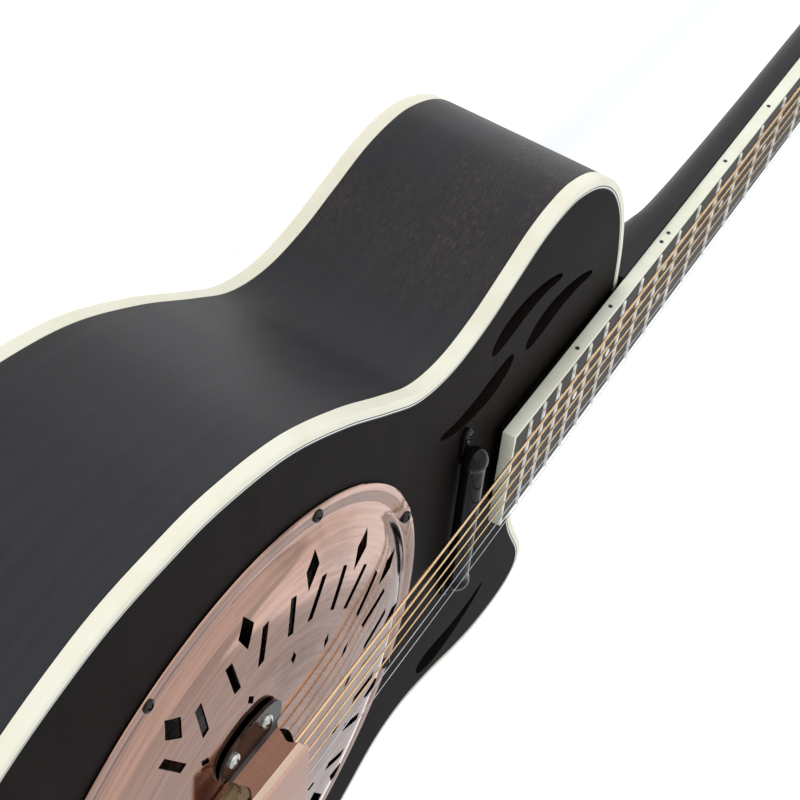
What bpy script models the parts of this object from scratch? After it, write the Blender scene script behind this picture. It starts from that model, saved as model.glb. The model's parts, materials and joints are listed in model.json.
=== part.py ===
"""Cutaway resonator guitar with a biscuit cone, lying on its back.

World frame: metres, +Z up, +Y towards the headstock, +X the treble side. The origin is on the back plate,
under the middle of the resonator cone. The soundboard is tilted by the taper of the sides, the fingerboard
is tilted against the soundboard, and the headstock is tilted against the fingerboard. Each of these has an
empty, and its pieces are built flat in that empty's frame.
"""
from math import atan, cos, pi, radians, sin, tan

import bmesh
import bpy
from mathutils import Matrix, Vector

# ---- driving dimensions ---------------------------------------------------------------------------------
GAP = 0.0003                     # left between pieces that touch
SCALE_LENGTH = 0.648             # nut to saddle
FRET_COUNT = 20
TAIL_Y = -0.190                  # ends of the body on its centre line
NECK_Y = 0.2985
DEPTH_AT_TAIL = 0.106            # depth of the body over both plates
DEPTH_AT_NECK = 0.0825
CONE_Y = 0.0015                  # middle of the cone, cover plate and biscuit

TOP_THICKNESS = 0.0042
BACK_THICKNESS = 0.0040
SIDE_THICKNESS = 0.0030
BINDING_WIDTH = 0.0033
BINDING_HEIGHT = 0.0060
OUTLINE_TURN = radians(11)       # the body's outline turns at most this much at a point

PLATE_RADIUS = 0.1295
PLATE_THICKNESS = 0.0010
PLATE_RAYS = 16                  # groups of openings round the cover plate
WELL_RADIUS = 0.1208
CONE_RADIUS = 0.1200
CONE_SEAT_Z = -0.0215
WINDOW_HALF = (0.0385, 0.0300)   # the cover plate's oval window over the saddle
PLATE_TURN = radians(-1.4)       # how far round the cover plate is screwed down
BISCUIT_RADIUS = 0.0190
SADDLE_TOP_Z = 0.0163
WALL_X = 0.0405                  # inner foot of the hand rest's walls
FOOT_X = 0.0605
REST_SHEET = 0.0014

NUT_HALF_WIDTH = 0.0215
BOARD_END_HALF_WIDTH = 0.0293
BOARD_LENGTH = 0.4577
BOARD_THICKNESS = 0.0060
BOARD_BINDING = 0.0018
BOARD_SLOPE = 0.020              # drop of the fingerboard towards the nut, against the soundboard
BOARD_Z_AT_NUT = 0.00112
FRET_HEIGHT = 0.0009
NUT_LENGTH = 0.0050

STRING_RADII = (0.00068, 0.00056, 0.00044, 0.00034, 0.00022, 0.00017)   # from the bass side
STRING_SPREAD_SADDLE = 0.0242    # half the distance between the outer strings
STRING_SPREAD_NUT = 0.0181
STRING_Z_SADDLE = 0.0173
STRING_OVER_NUT = 0.0016         # over the fingerboard's surface at the nut
TAIL_BAR_Y = -0.1420
TAIL_BAR_Z = 0.0085

HEAD_TILT = radians(9.5)
HEAD_LENGTH = 0.160
HEAD_THICKNESS = 0.0140
VENEER_THICKNESS = 0.0015
POST_ROWS = (0.034, 0.071, 0.108)        # distance of each pair of posts from the nut
POST_X = (0.0240, 0.0255, 0.0270)
POST_RADIUS = 0.0030
POST_HEIGHT = 0.0170
WHEEL_RADIUS = 0.0065
WORM_RADIUS = 0.0029
GEAR_DEPTH = 0.0055              # depth of the worm's axis behind the tuner plate

PICKUP_Y = 0.1620
PICKUP_RADIUS = 0.0057
PICKUP_HALF_LENGTH = 0.0450
CONTROL_PLACES = {"volume": (0.1535, -0.0480), "tone": (0.1440, -0.0860)}

TAPER = atan((DEPTH_AT_TAIL - DEPTH_AT_NECK) / (NECK_Y - TAIL_Y))
DEPTH_AT_CONE = DEPTH_AT_NECK + NECK_Y * tan(TAPER)
BOARD_TILT = atan(BOARD_SLOPE)
BACK_OF_HEAD = -(VENEER_THICKNESS + GAP + HEAD_THICKNESS)

# the body's outer edge, anticlockwise from the tail: lower bout, cutaway, neck, upper bout, waist
OUTLINE = (
    (0.000, -0.190), (0.060, -0.187), (0.115, -0.167), (0.158, -0.123), (0.178, -0.070), (0.181, -0.024),
    (0.177, 0.006), (0.167, 0.037), (0.149, 0.071), (0.129, 0.100), (0.1165, 0.120), (0.1135, 0.140),
    (0.1185, 0.164), (0.1245, 0.182), (0.1285, 0.198), (0.1300, 0.214), (0.1290, 0.227), (0.1255, 0.2365),
    (0.1195, 0.2425), (0.1110, 0.2440), (0.1010, 0.2415), (0.0860, 0.2342), (0.0720, 0.2278),
    (0.0600, 0.2246), (0.0495, 0.2268), (0.0425, 0.2370), (0.0385, 0.2550), (0.0365, 0.2720),
    (0.0350, 0.2860), (0.0300, 0.2950), (0.0200, 0.2982), (0.000, 0.2985), (-0.027, 0.2978),
    (-0.054, 0.2945), (-0.080, 0.2872), (-0.102, 0.2745), (-0.1175, 0.2575), (-0.1260, 0.2390),
    (-0.1278, 0.2240), (-0.1255, 0.2070), (-0.1185, 0.1880), (-0.1110, 0.1670), (-0.1080, 0.1450),
    (-0.1130, 0.1230), (-0.127, 0.1010), (-0.148, 0.071), (-0.167, 0.037), (-0.177, 0.004),
    (-0.1805, -0.025), (-0.178, -0.070), (-0.158, -0.123), (-0.115, -0.167), (-0.060, -0.187),
)

NECK_POINT = (0.000, 0.2985)     # where the outline crosses the centre line at the neck

# one leaf-shaped sound hole: a round end, a bowed back and a sharp tip
LEAF = (
    (0.0000, 0.0000), (0.0060, 0.0035), (0.0094, 0.0130), (0.0090, 0.0270), (0.0052, 0.0420),
    (-0.0048, 0.0590), (-0.0012, 0.0440), (-0.0012, 0.0290), (-0.0036, 0.0150), (-0.0038, 0.0045),
)
# place of each leaf's round end, and the signs that mirror it across and along the guitar
LEAF_PLACES = ((-0.0845, 0.1775, -1, 1), (-0.0605, 0.2090, -1, 1), (-0.0648, 0.1990, 1, -1),
               (0.0975, 0.1495, 1, 1))


# ---- scene and helpers ----------------------------------------------------------------------------------
def new_collection(name):
    collection = bpy.data.collections.new(name)
    bpy.context.scene.collection.children.link(collection)
    return collection


for old in list(bpy.data.objects):
    bpy.data.objects.remove(old, do_unlink=True)
PARTS = new_collection("resonator_guitar")
CUTTERS = new_collection("cutters")


def material(name, colour, roughness, metallic=0.0):
    mat = bpy.data.materials.new(name)
    mat.use_nodes = True
    shader = mat.node_tree.nodes["Principled BSDF"]
    shader.inputs["Base Color"].default_value = (*colour, 1.0)
    shader.inputs["Roughness"].default_value = roughness
    shader.inputs["Metallic"].default_value = metallic
    return mat


BLACK_WOOD = material("black_stained_wood", (0.030, 0.030, 0.033), 0.42)
RAW_WOOD = material("raw_wood", (0.45, 0.30, 0.17), 0.65)
PALE_WOOD = material("pale_maple", (0.62, 0.47, 0.30), 0.5)
DARK_BOARD = material("dark_fingerboard", (0.055, 0.042, 0.036), 0.5)
CREAM = material("cream_plastic", (0.88, 0.84, 0.72), 0.3)
COPPER = material("antique_copper", (0.52, 0.30, 0.22), 0.32, 1.0)
NICKEL = material("nickel", (0.62, 0.60, 0.57), 0.2, 1.0)
ALUMINIUM = material("spun_aluminium", (0.75, 0.75, 0.75), 0.35, 1.0)
STEEL = material("steel", (0.55, 0.55, 0.56), 0.3, 1.0)
BRONZE = material("phosphor_bronze", (0.72, 0.48, 0.24), 0.3, 1.0)
GLOSS_BLACK = material("gloss_black", (0.01, 0.01, 0.01), 0.08)


def frame_empty(name, parent, location, tilt):
    empty = bpy.data.objects.new(name, None)
    bpy.context.scene.collection.objects.link(empty)
    empty.parent = parent
    empty.location = location
    empty.rotation_euler = (-tilt, 0.0, 0.0)
    return empty


FLOOR = frame_empty("floor_frame", None, (0, 0, 0), 0.0)
BODY = frame_empty("body_frame", FLOOR, (0, 0, DEPTH_AT_CONE * cos(TAPER)), TAPER)
BOARD = frame_empty("board_frame", BODY, (0, SCALE_LENGTH, BOARD_Z_AT_NUT), BOARD_TILT)
HEAD = frame_empty("head_frame", BOARD, (0, NUT_LENGTH, -0.0012), HEAD_TILT)


def add_object(name, data, parent, mat=None, location=(0, 0, 0), cutter=False):
    obj = bpy.data.objects.new(name, data)
    (CUTTERS if cutter else PARTS).objects.link(obj)
    obj.parent = parent
    obj.location = location
    if cutter:
        obj.hide_render = True
        obj.display_type = "WIRE"
    elif mat:
        data.materials.append(mat)
    return obj


def mesh_from(bm, name):
    mesh = bpy.data.meshes.new(name)
    bm.normal_update()
    bm.to_mesh(mesh)
    bm.free()
    return mesh


def box_mesh(name, low, high):
    low = Vector(low)
    high = Vector(high)
    size = high - low
    place = Matrix.Translation((low + high) / 2) @ Matrix.Diagonal((*size, 1.0))
    bm = bmesh.new()
    bmesh.ops.create_cube(bm, size=1.0, matrix=place)
    return mesh_from(bm, name)


def rod_mesh(name, start, end, radius, sides=16):
    """A cylinder from one point to another."""
    start = Vector(start)
    end = Vector(end)
    turn = Vector((0, 0, 1)).rotation_difference(end - start).to_matrix().to_4x4()
    bm = bmesh.new()
    bmesh.ops.create_cone(bm, cap_ends=True, segments=sides, radius1=radius, radius2=radius,
                          depth=(end - start).length, matrix=Matrix.Translation((start + end) / 2) @ turn)
    return mesh_from(bm, name)


def box(name, parent, low, high, mat=None, cutter=False):
    return add_object(name, box_mesh(name, low, high), parent, mat, cutter=cutter)


def rod(name, parent, start, end, radius, mat=None, sides=16, cutter=False):
    return add_object(name, rod_mesh(name, start, end, radius, sides), parent, mat, cutter=cutter)


def turned(name, parent, profile, mat, location=(0, 0, 0), steps=48, cutter=False):
    """Turn a closed profile of (radius, height) points round the local Z axis."""
    bm = bmesh.new()
    ring = [bm.verts.new((r, 0.0, z)) for r, z in profile]
    for a, b in zip(ring, ring[1:]):
        bm.edges.new((a, b))
    on_axis = abs(profile[0][0]) < 1e-9 and abs(profile[-1][0]) < 1e-9
    if not on_axis:
        bm.edges.new((ring[-1], ring[0]))
    obj = add_object(name, mesh_from(bm, name), parent, mat, location, cutter)
    screw = obj.modifiers.new("turn", "SCREW")
    screw.steps = steps
    screw.render_steps = steps
    screw.use_merge_vertices = True
    screw.merge_threshold = 0.00001
    return obj


def flat(name, parent, loops, bottom, top, mat, cutter=False):
    """Extrude a flat outline; loops inside the first one are holes."""
    curve = bpy.data.curves.new(name, "CURVE")
    curve.dimensions = "2D"
    curve.fill_mode = "BOTH"
    curve.extrude = (top - bottom) / 2
    for loop in loops:
        spline = curve.splines.new("POLY")
        spline.points.add(len(loop) - 1)
        for point, (x, y) in zip(spline.points, loop):
            point.co = (x, y, 0.0, 1.0)
        spline.use_cyclic_u = True
    obj = bpy.data.objects.new(name + "_curve", curve)
    bpy.context.scene.collection.objects.link(obj)
    return curve_to_mesh(obj, name, parent, mat, (0, 0, (top + bottom) / 2), cutter)


def curve_to_mesh(source, name, parent, mat, location=(0, 0, 0), cutter=False):
    """Replace a curve object by a mesh whose caps are welded on."""
    graph = bpy.context.evaluated_depsgraph_get()
    mesh = bpy.data.meshes.new_from_object(source.evaluated_get(graph))
    bm = bmesh.new()
    bm.from_mesh(mesh)
    bmesh.ops.remove_doubles(bm, verts=bm.verts, dist=0.00001)
    bmesh.ops.recalc_face_normals(bm, faces=bm.faces)
    bm.to_mesh(mesh)
    bm.free()
    mesh.materials.clear()
    bpy.data.objects.remove(source, do_unlink=True)
    return add_object(name, mesh, parent, mat, location, cutter)


def tube(name, parent, points, radius, mat, resolution=1):
    curve = bpy.data.curves.new(name, "CURVE")
    curve.dimensions = "3D"
    curve.bevel_depth = radius
    curve.bevel_resolution = resolution
    curve.use_fill_caps = True
    spline = curve.splines.new("POLY")
    spline.points.add(len(points) - 1)
    for point, co in zip(spline.points, points):
        point.co = (*co, 1.0)
    source = bpy.data.objects.new(name + "_curve", curve)
    bpy.context.scene.collection.objects.link(source)
    return curve_to_mesh(source, name, parent, mat)


def cut(target, cutter, operation="DIFFERENCE"):
    boolean = target.modifiers.new(cutter.name, "BOOLEAN")
    boolean.operation = operation
    boolean.object = cutter
    boolean.solver = "EXACT"
    return target


def join(target, piece):
    """Weld another closed mesh into the target; the piece is kept among the cutters."""
    return cut(target, piece, "UNION")


def soften(obj, width, segments=2, angle=radians(35)):
    bevel = obj.modifiers.new("soften", "BEVEL")
    bevel.width = width
    bevel.segments = segments
    bevel.limit_method = "ANGLE"
    bevel.angle_limit = angle
    return obj


def smooth_loop(points, per_span):
    """Points on a closed Catmull-Rom curve through the given ones."""
    result = []
    count = len(points)
    for i in range(count):
        before, a, b, after = (Vector(points[(i + k) % count]) for k in (-1, 0, 1, 2))
        for k in range(per_span):
            t = k / per_span
            bend = 2 * before - 5 * a + 4 * b - after
            twist = 3 * a - before - 3 * b + after
            result.append(tuple(0.5 * (2 * a + (b - before) * t + bend * t * t + twist * t ** 3)))
    return result


def inset(loop, distance):
    """Move an anticlockwise loop inwards by a distance."""
    result = []
    for i, point in enumerate(loop):
        along = (Vector(loop[(i + 1) % len(loop)]) - Vector(loop[i - 1])).normalized()
        result.append((point[0] - along.y * distance, point[1] + along.x * distance))
    return result


def body_loop(distance=0.0):
    """The body's outline, or a loop at a distance inside it, with points where it has turned enough."""
    fine = smooth_loop(OUTLINE, 6)
    moved = inset(fine, distance)
    half = len(fine) * OUTLINE.index(NECK_POINT) // len(OUTLINE)
    picked = []
    turned_by = OUTLINE_TURN
    for i, point in enumerate(fine):
        along = Vector(fine[(i + 1) % len(fine)]) - Vector(point)
        turned_by += abs(along.angle_signed(Vector(point) - Vector(fine[i - 1])))
        if turned_by >= OUTLINE_TURN or i == half:
            picked.append(moved[i])
            turned_by = 0.0
    return picked


def on_back(loop):
    """The same loop where the tilted back plate meets the sides, in the floor's frame."""
    return [(x, y / cos(TAPER) - DEPTH_AT_CONE * sin(TAPER)) for x, y in loop]


def circle(x, y, radius, count=48):
    step = 2 * pi / count
    return [(x + radius * cos(step * i), y + radius * sin(step * i)) for i in range(count)]


# ---- sound box ------------------------------------------------------------------------------------------
def leaf_loop(x, y, across, along):
    return [(x + across * a, y + along * b) for a, b in LEAF]


def make_soundboard():
    loops = [body_loop(BINDING_WIDTH + GAP), circle(0, CONE_Y, WELL_RADIUS, 40)]
    loops += [leaf_loop(*place) for place in LEAF_PLACES]
    loops += [circle(x, y, 0.0045, 12) for x, y in CONTROL_PLACES.values()]
    flat("soundboard", BODY, loops, -TOP_THICKNESS, 0.0, BLACK_WOOD)


def make_back():
    flat("back_plate", FLOOR, [on_back(body_loop(BINDING_WIDTH + GAP))], 0.0, BACK_THICKNESS, BLACK_WOOD)
    rings = [on_back(body_loop()), on_back(body_loop(BINDING_WIDTH))]
    flat("back_binding", FLOOR, rings, 0.0, BINDING_HEIGHT, CREAM)


def side_strip(first, last):
    """Outline of one side, between two places on the body's loop."""
    outer = body_loop()
    inner = body_loop(SIDE_THICKNESS)
    picks = [i % len(outer) for i in range(first, last + 1)]
    strip = [outer[i] for i in picks] + [inner[i] for i in reversed(picks)]
    return strip


def make_sides():
    loop = body_loop()
    total = len(loop)
    neck_joint = max(range(total), key=lambda i: loop[i][1] - abs(loop[i][0]))
    under_back = box("below_sides", FLOOR, (-0.3, -0.3, -0.1), (0.3, 0.4, BINDING_HEIGHT + GAP), cutter=True)
    spans = {"treble_side": (0, neck_joint), "bass_side": (neck_joint, total)}
    for name, (first, last) in spans.items():
        side = flat(name, BODY, [side_strip(first, last)], -0.13, -BINDING_HEIGHT - GAP, BLACK_WOOD)
        cut(side, under_back)
        seam = box(name + "_seam", BODY, (-0.0002, -0.3, -0.2), (0.0002, 0.4, 0.1), cutter=True)
        cut(side, seam)


def make_top_binding():
    flat("top_binding", BODY, [body_loop(), body_loop(BINDING_WIDTH)], -BINDING_HEIGHT, 0.0, CREAM)


def make_blocks():
    """The neck block and the end block, cut off just above the tilted back plate."""
    top = -TOP_THICKNESS - GAP
    above_back = box("below_blocks", FLOOR, (-0.3, -0.3, -0.1), (0.3, 0.4, BACK_THICKNESS + GAP), cutter=True)
    neck_block = box("neck_block", BODY, (-0.034, 0.240, -0.12), (0.0275, 0.2900, top), RAW_WOOD)
    end_block = box("end_block", BODY, (-0.026, -0.1850, -0.12), (0.026, -0.166, top), RAW_WOOD)
    hole = rod("jack_bore", BODY, (0, -0.20, -0.050), (0, -0.15, -0.050), 0.0062, cutter=True)
    cut(end_block, hole)
    for block in (neck_block, end_block):
        cut(block, above_back)
    for name in ("bass_side", "treble_side"):
        cut(bpy.data.objects[name], hole)


def make_braces():
    low = BACK_THICKNESS + GAP
    for name, y, half in (("lower_back_brace", -0.115, 0.150), ("upper_back_brace", 0.195, 0.108)):
        brace = box(name, FLOOR, (-half, y - 0.005, low), (half, y + 0.005, low + 0.012), RAW_WOOD)
        soften(brace, 0.003, 1)
    top = -TOP_THICKNESS - GAP
    brace = box("top_brace", BODY, (-0.098, 0.137, top - 0.014), (0.098, 0.146, top), RAW_WOOD)
    soften(brace, 0.003, 1)


# ---- resonator ------------------------------------------------------------------------------------------
def make_soundwell():
    top = -TOP_THICKNESS - GAP
    ledge_top = CONE_SEAT_Z - GAP
    bottom = ledge_top - 0.005
    profile = ((WELL_RADIUS, top), (0.1288, top), (0.1288, bottom), (0.1125, bottom), (0.1125, ledge_top),
               (WELL_RADIUS, ledge_top))
    turned("soundwell", BODY, profile, RAW_WOOD, (0, CONE_Y, 0), steps=40)


def make_cone():
    """A spun cone with a rolled rim, a shallow groove, and a flat seat for the biscuit."""
    seat = CONE_SEAT_Z
    skin = 0.0006
    upper = [(0.0, 0.0), (0.0200, 0.0), (0.098, seat + 0.0045), (0.106, seat + 0.0018),
             (0.112, seat + 0.0030), (CONE_RADIUS, seat + 0.0030)]
    lower = [(CONE_RADIUS, seat), (0.1160, seat), (0.112, seat + 0.0030 - skin),
             (0.106, seat + 0.0018 - skin), (0.098, seat + 0.0045 - skin), (0.0200, -skin), (0.0, -skin)]
    turned("resonator_cone", BODY, upper + lower, ALUMINIUM, (0, CONE_Y, 0), steps=32)


def make_biscuit_and_saddle():
    profile = ((0.0, 0.0085), (BISCUIT_RADIUS - 0.001, 0.0085), (BISCUIT_RADIUS, 0.0075),
               (BISCUIT_RADIUS, GAP), (0.0, GAP))
    biscuit = turned("biscuit", BODY, profile, PALE_WOOD, (0, CONE_Y, 0), steps=24)
    slot = box("saddle_slot", BODY, (-0.05, -0.0018, 0.0042), (0.05, 0.0018, 0.03), cutter=True)
    cut(biscuit, slot)
    reach = STRING_SPREAD_SADDLE + 0.0045
    outline = [(-reach, 0.0098), (-0.014, 0.0098), (-0.014, 0.0045), (0.014, 0.0045), (0.014, 0.0098),
               (reach, 0.0098), (reach, SADDLE_TOP_Z - 0.0012), (reach - 0.002, SADDLE_TOP_Z),
               (-reach + 0.002, SADDLE_TOP_Z), (-reach, SADDLE_TOP_Z - 0.0012)]
    saddle = flat("saddle", BODY, [outline], -0.0015, 0.0015, PALE_WOOD)
    saddle.rotation_euler = (pi / 2, 0, 0)


def plate_height(radius):
    """Height of the cover plate's upper surface over the soundboard."""
    points = ((0.0, 0.0113), (0.030, 0.0110), (0.050, 0.0104), (0.069, 0.0094), (0.082, 0.0082),
              (0.099, 0.0066), (0.107, 0.0052), (0.113, 0.0030), (0.119, 0.0013), (PLATE_RADIUS, 0.0013))
    for (r0, z0), (r1, z1) in zip(points, points[1:]):
        if radius <= r1:
            return z0 + (z1 - z0) * (radius - r0) / (r1 - r0)
    return points[-1][1]


def ray_cutters(bm, angle):
    """One group of openings: a kite, two slots either side of it and a small lozenge nearer the middle."""
    kite = ((0.0965, 0.0), (0.1060, 0.0046), (0.1132, 0.0), (0.1060, -0.0046))
    slots = []
    for side in (-1, 1):
        inner = side * 0.0068
        outer = side * 0.0108
        slots.append(((0.0815, inner - 0.0019), (0.0990, outer - 0.0019), (0.0990, outer + 0.0019),
                      (0.0815, inner + 0.0019)))
    lozenge = ((0.0672, -0.0014), (0.0692, -0.0018), (0.0706, 0.0014), (0.0686, 0.0018))
    turn = Matrix.Rotation(angle, 3, "Z")
    for loop in (kite, *slots, lozenge):
        ring = [turn @ Vector((x, y, -0.01)) for x, y in loop]
        face = bm.faces.new([bm.verts.new(co) for co in ring])
        grown = bmesh.ops.extrude_face_region(bm, geom=[face])
        moved = [v for v in grown["geom"] if isinstance(v, bmesh.types.BMVert)]
        bmesh.ops.translate(bm, verts=moved, vec=(0, 0, 0.04))


def make_cover_plate():
    radii = (0.0, 0.050, 0.082, 0.099, 0.113, 0.119, PLATE_RADIUS)
    upper = [(r, plate_height(r)) for r in radii]
    lower = [(r, plate_height(r) - PLATE_THICKNESS) for r in reversed(radii)]
    plate = turned("cover_plate", BODY, upper + lower, COPPER, (0, CONE_Y, 0), steps=32)
    bm = bmesh.new()
    for k in range(PLATE_RAYS):
        ray_cutters(bm, PLATE_TURN + 2 * pi * k / PLATE_RAYS)
    bmesh.ops.recalc_face_normals(bm, faces=bm.faces)
    rays = add_object("plate_rays", mesh_from(bm, "plate_rays"), BODY, location=(0, CONE_Y, 0), cutter=True)
    oval = [(x * WINDOW_HALF[0], y * WINDOW_HALF[1]) for x, y in circle(0, 0, 1.0, 24)]
    window = flat("plate_window", BODY, [oval], -0.02, 0.04, None, cutter=True)
    window.location.y = CONE_Y
    cut(plate, window)
    cut(plate, rays)


def mirrored(side):
    """The other half of a symmetric outline, from the middle outwards."""
    return [(-x, z) for x, z in reversed(side[:-1])]


def make_hand_rest():
    """A bent strip over the saddle, with a lens-shaped foot on each side of the window."""
    foot_z = plate_height(WALL_X) + GAP
    outer_z = foot_z + REST_SHEET
    under = [(-FOOT_X, foot_z), (-WALL_X, foot_z), (-WALL_X + 0.0013, 0.0200), (-WALL_X + 0.0055, 0.0240),
             (0.0, 0.0262)]
    upper = [(-FOOT_X, outer_z), (-WALL_X - 0.0012, outer_z), (-WALL_X - 0.0001, 0.0205),
             (-WALL_X + 0.0047, 0.0253), (0.0, 0.0276)]
    section = under + mirrored(under) + [(-x, z) for x, z in upper[:-1]] + list(reversed(upper))
    strip = flat("hand_rest", BODY, [section], -0.0185, 0.0185, COPPER)
    strip.rotation_euler = (pi / 2, 0, 0)
    quarter = [(-0.0610, 0.0), (-0.0585, 0.0085), (-0.0530, 0.0160), (-0.0470, 0.0180), (-0.0420, 0.0165),
               (-0.0340, 0.0172), (0.0, 0.0145)]
    far_half = quarter + mirrored(quarter)
    waist = far_half + [(x, -y) for x, y in reversed(far_half[1:-1])]
    keep = flat("hand_rest_plan", BODY, [waist], 0.0, 0.04, None, cutter=True)
    cut(strip, keep, "INTERSECT")


# ---- tail -----------------------------------------------------------------------------------------------
def make_tailpiece():
    """A bent plate that hooks round the tail, with a bar that holds the strings' ball ends."""
    edge = TAIL_Y - GAP
    thick = 0.0016
    profile = [(edge, -0.062), (edge, 0.0004), (edge + 0.0012, 0.0016), (TAIL_BAR_Y - 0.009, 0.0052),
               (TAIL_BAR_Y - 0.009, 0.0052 + thick), (edge + 0.0004, 0.0032), (edge - thick, 0.0014),
               (edge - thick, -0.062)]
    hanger = flat("tailpiece", BODY, [profile], -0.0185, 0.0185, NICKEL)
    hanger.rotation_euler = (pi / 2, 0, pi / 2)
    bar = box("tail_bar", BODY, (-0.0300, TAIL_BAR_Y - 0.0105, 0.0045), (0.0300, TAIL_BAR_Y, 0.0118),
              cutter=True)
    soften(bar, 0.0015, 2)
    join(hanger, bar)
    pin_hole = rod("tailpiece_hole", BODY, (0, -0.21, -0.050), (0, -0.17, -0.050), 0.0062, cutter=True)
    cut(hanger, pin_hole)


def make_end_jack():
    """The strap button that is also the output socket; its barrel goes through the end block."""
    outer = TAIL_Y - GAP - 0.0016 - GAP
    profile = ((0.0058, 0.0), (0.0075, 0.0), (0.0075, 0.0010), (0.0052, 0.0026), (0.0052, 0.0080),
               (0.0085, 0.0098), (0.0085, 0.0122), (0.0070, 0.0132), (0.0034, 0.0132), (0.0034, -0.026),
               (0.0058, -0.026))
    jack = turned("end_pin_jack", BODY, list(reversed(profile)), NICKEL, (0, outer, -0.050), steps=16)
    jack.rotation_euler = (pi / 2, 0, 0)


# ---- neck -----------------------------------------------------------------------------------------------
def board_half_width(distance):
    """Half the fingerboard's width, at a distance from the nut."""
    return NUT_HALF_WIDTH + (BOARD_END_HALF_WIDTH - NUT_HALF_WIDTH) * distance / BOARD_LENGTH


def fret_distance(number):
    return SCALE_LENGTH * (1 - 2 ** (-number / 12))


def board_loop(margin, end_margin):
    end = board_half_width(BOARD_LENGTH) - margin
    start = NUT_HALF_WIDTH - margin
    low = -BOARD_LENGTH + end_margin
    return [(-end, low), (end, low), (start, -GAP), (-start, -GAP)]


def make_fingerboard():
    margin = BOARD_BINDING + GAP
    board = flat("fingerboard", BOARD, [board_loop(margin, margin)], -BOARD_THICKNESS, 0.0, DARK_BOARD)
    bm = bmesh.new()
    for number in range(1, FRET_COUNT + 1):
        distance = fret_distance(number)
        half = board_half_width(distance) - BOARD_BINDING - GAP - 0.0002
        section = ((-0.0013, -0.0010), (0.0013, -0.0010), (0.0011, 0.0005), (0.0, FRET_HEIGHT),
                   (-0.0011, 0.0005))
        face = bm.faces.new([bm.verts.new((-half, y - distance, z)) for y, z in section])
        grown = bmesh.ops.extrude_face_region(bm, geom=[face])
        moved = [v for v in grown["geom"] if isinstance(v, bmesh.types.BMVert)]
        bmesh.ops.translate(bm, verts=moved, vec=(2 * half, 0, 0))
    bmesh.ops.recalc_face_normals(bm, faces=bm.faces)
    frets = add_object("frets", mesh_from(bm, "frets"), BOARD, cutter=True)
    join(board, frets)
    outer = board_loop(0.0, 0.0)
    inner = board_loop(BOARD_BINDING, BOARD_BINDING)
    horseshoe = [outer[3], outer[0], outer[1], outer[2], inner[2], inner[1], inner[0], inner[3]]
    flat("fingerboard_binding", BOARD, [horseshoe], -BOARD_THICKNESS, 0.0, CREAM)


def make_riser():
    """The wedge that carries the fingerboard's end over the soundboard."""
    start = NECK_Y - 0.002
    end = SCALE_LENGTH - BOARD_LENGTH + 0.006
    riser = box("fingerboard_riser", BODY, (-0.0235, end, GAP), (0.0235, start, 0.02), BLACK_WOOD)
    lid = box("above_riser", BOARD, (-0.05, -0.6, -BOARD_THICKNESS - GAP), (0.05, 0.1, 0.05), cutter=True)
    cut(riser, lid)


def neck_section(half_width, depth, bottom_half):
    """Half-round section below the fingerboard, from the bass edge round to the treble edge."""
    points = []
    for k in range(9):
        a = pi * k / 8
        squeeze = 1 - (1 - bottom_half / half_width) * sin(a) ** 2
        points.append((-half_width * cos(a) * squeeze, -depth * sin(a) ** 0.75))
    return points


def make_neck():
    """The neck and headstock core: a loft from the heel to the nut, joined to an outlined headstock."""
    top = -BOARD_THICKNESS - GAP
    heel_end = NECK_Y - SCALE_LENGTH
    stations = [(heel_end - 0.003, 0.0285, 0.0740, 0.017), (heel_end + 0.010, 0.0284, 0.0690, 0.017),
                (heel_end + 0.022, 0.0281, 0.0470, 0.020), (heel_end + 0.034, 0.0279, 0.0270, 0.026),
                (heel_end + 0.050, 0.0276, 0.0190, 0.0276), (-0.20, board_half_width(0.20), 0.0172, 0.0249),
                (-0.05, board_half_width(0.05), 0.0158, 0.0224),
                (-0.012, NUT_HALF_WIDTH + 0.0002, 0.0150, 0.0217), (NUT_LENGTH, NUT_HALF_WIDTH, 0.0150, 0.0215)]
    bm = bmesh.new()
    rings = []
    for y, half, depth, bottom in stations:
        rings.append([bm.verts.new((x, y, top + z)) for x, z in neck_section(half, depth, bottom)])
    for a, b in zip(rings, rings[1:]):
        for i in range(len(a)):
            j = (i + 1) % len(a)
            bm.faces.new((a[i], a[j], b[j], b[i]))
    bm.faces.new(rings[0])
    bm.faces.new(list(reversed(rings[-1])))
    bmesh.ops.recalc_face_normals(bm, faces=bm.faces)
    neck = add_object("neck", mesh_from(bm, "neck"), BOARD, BLACK_WOOD)
    head = flat("headstock_core", HEAD, [head_loop()], BACK_OF_HEAD, -VENEER_THICKNESS - GAP, None,
                cutter=True)
    join(neck, head)
    body_side = box("inside_body", BODY, (-0.1, NECK_Y - 0.05, -0.2), (0.1, NECK_Y + GAP, 0.05), cutter=True)
    cut(neck, body_side)
    channel = box("rod_channel", BOARD, (-0.0033, heel_end + 0.010, -0.0145), (0.0033, 0.012, 0.0),
                  cutter=True)
    cut(neck, channel)
    nut_clearance = box("nut_clearance", BOARD, (-0.04, -0.020, top), (0.04, 0.0200, 0.03), cutter=True)
    cut(neck, nut_clearance)
    for cutter in post_bores():
        cut(neck, cutter)


def head_loop():
    """The headstock's outline, from its root at the nut."""
    half = ((0.0215, -0.004), (0.0225, 0.006), (0.0300, 0.014), (0.0335, 0.022), (0.0350, 0.050),
            (0.0378, 0.120), (0.0385, 0.142), (0.0350, 0.150), (0.0180, 0.155), (0.0, HEAD_LENGTH))
    return list(half) + [(-x, y) for x, y in reversed(half[:-1])]


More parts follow.
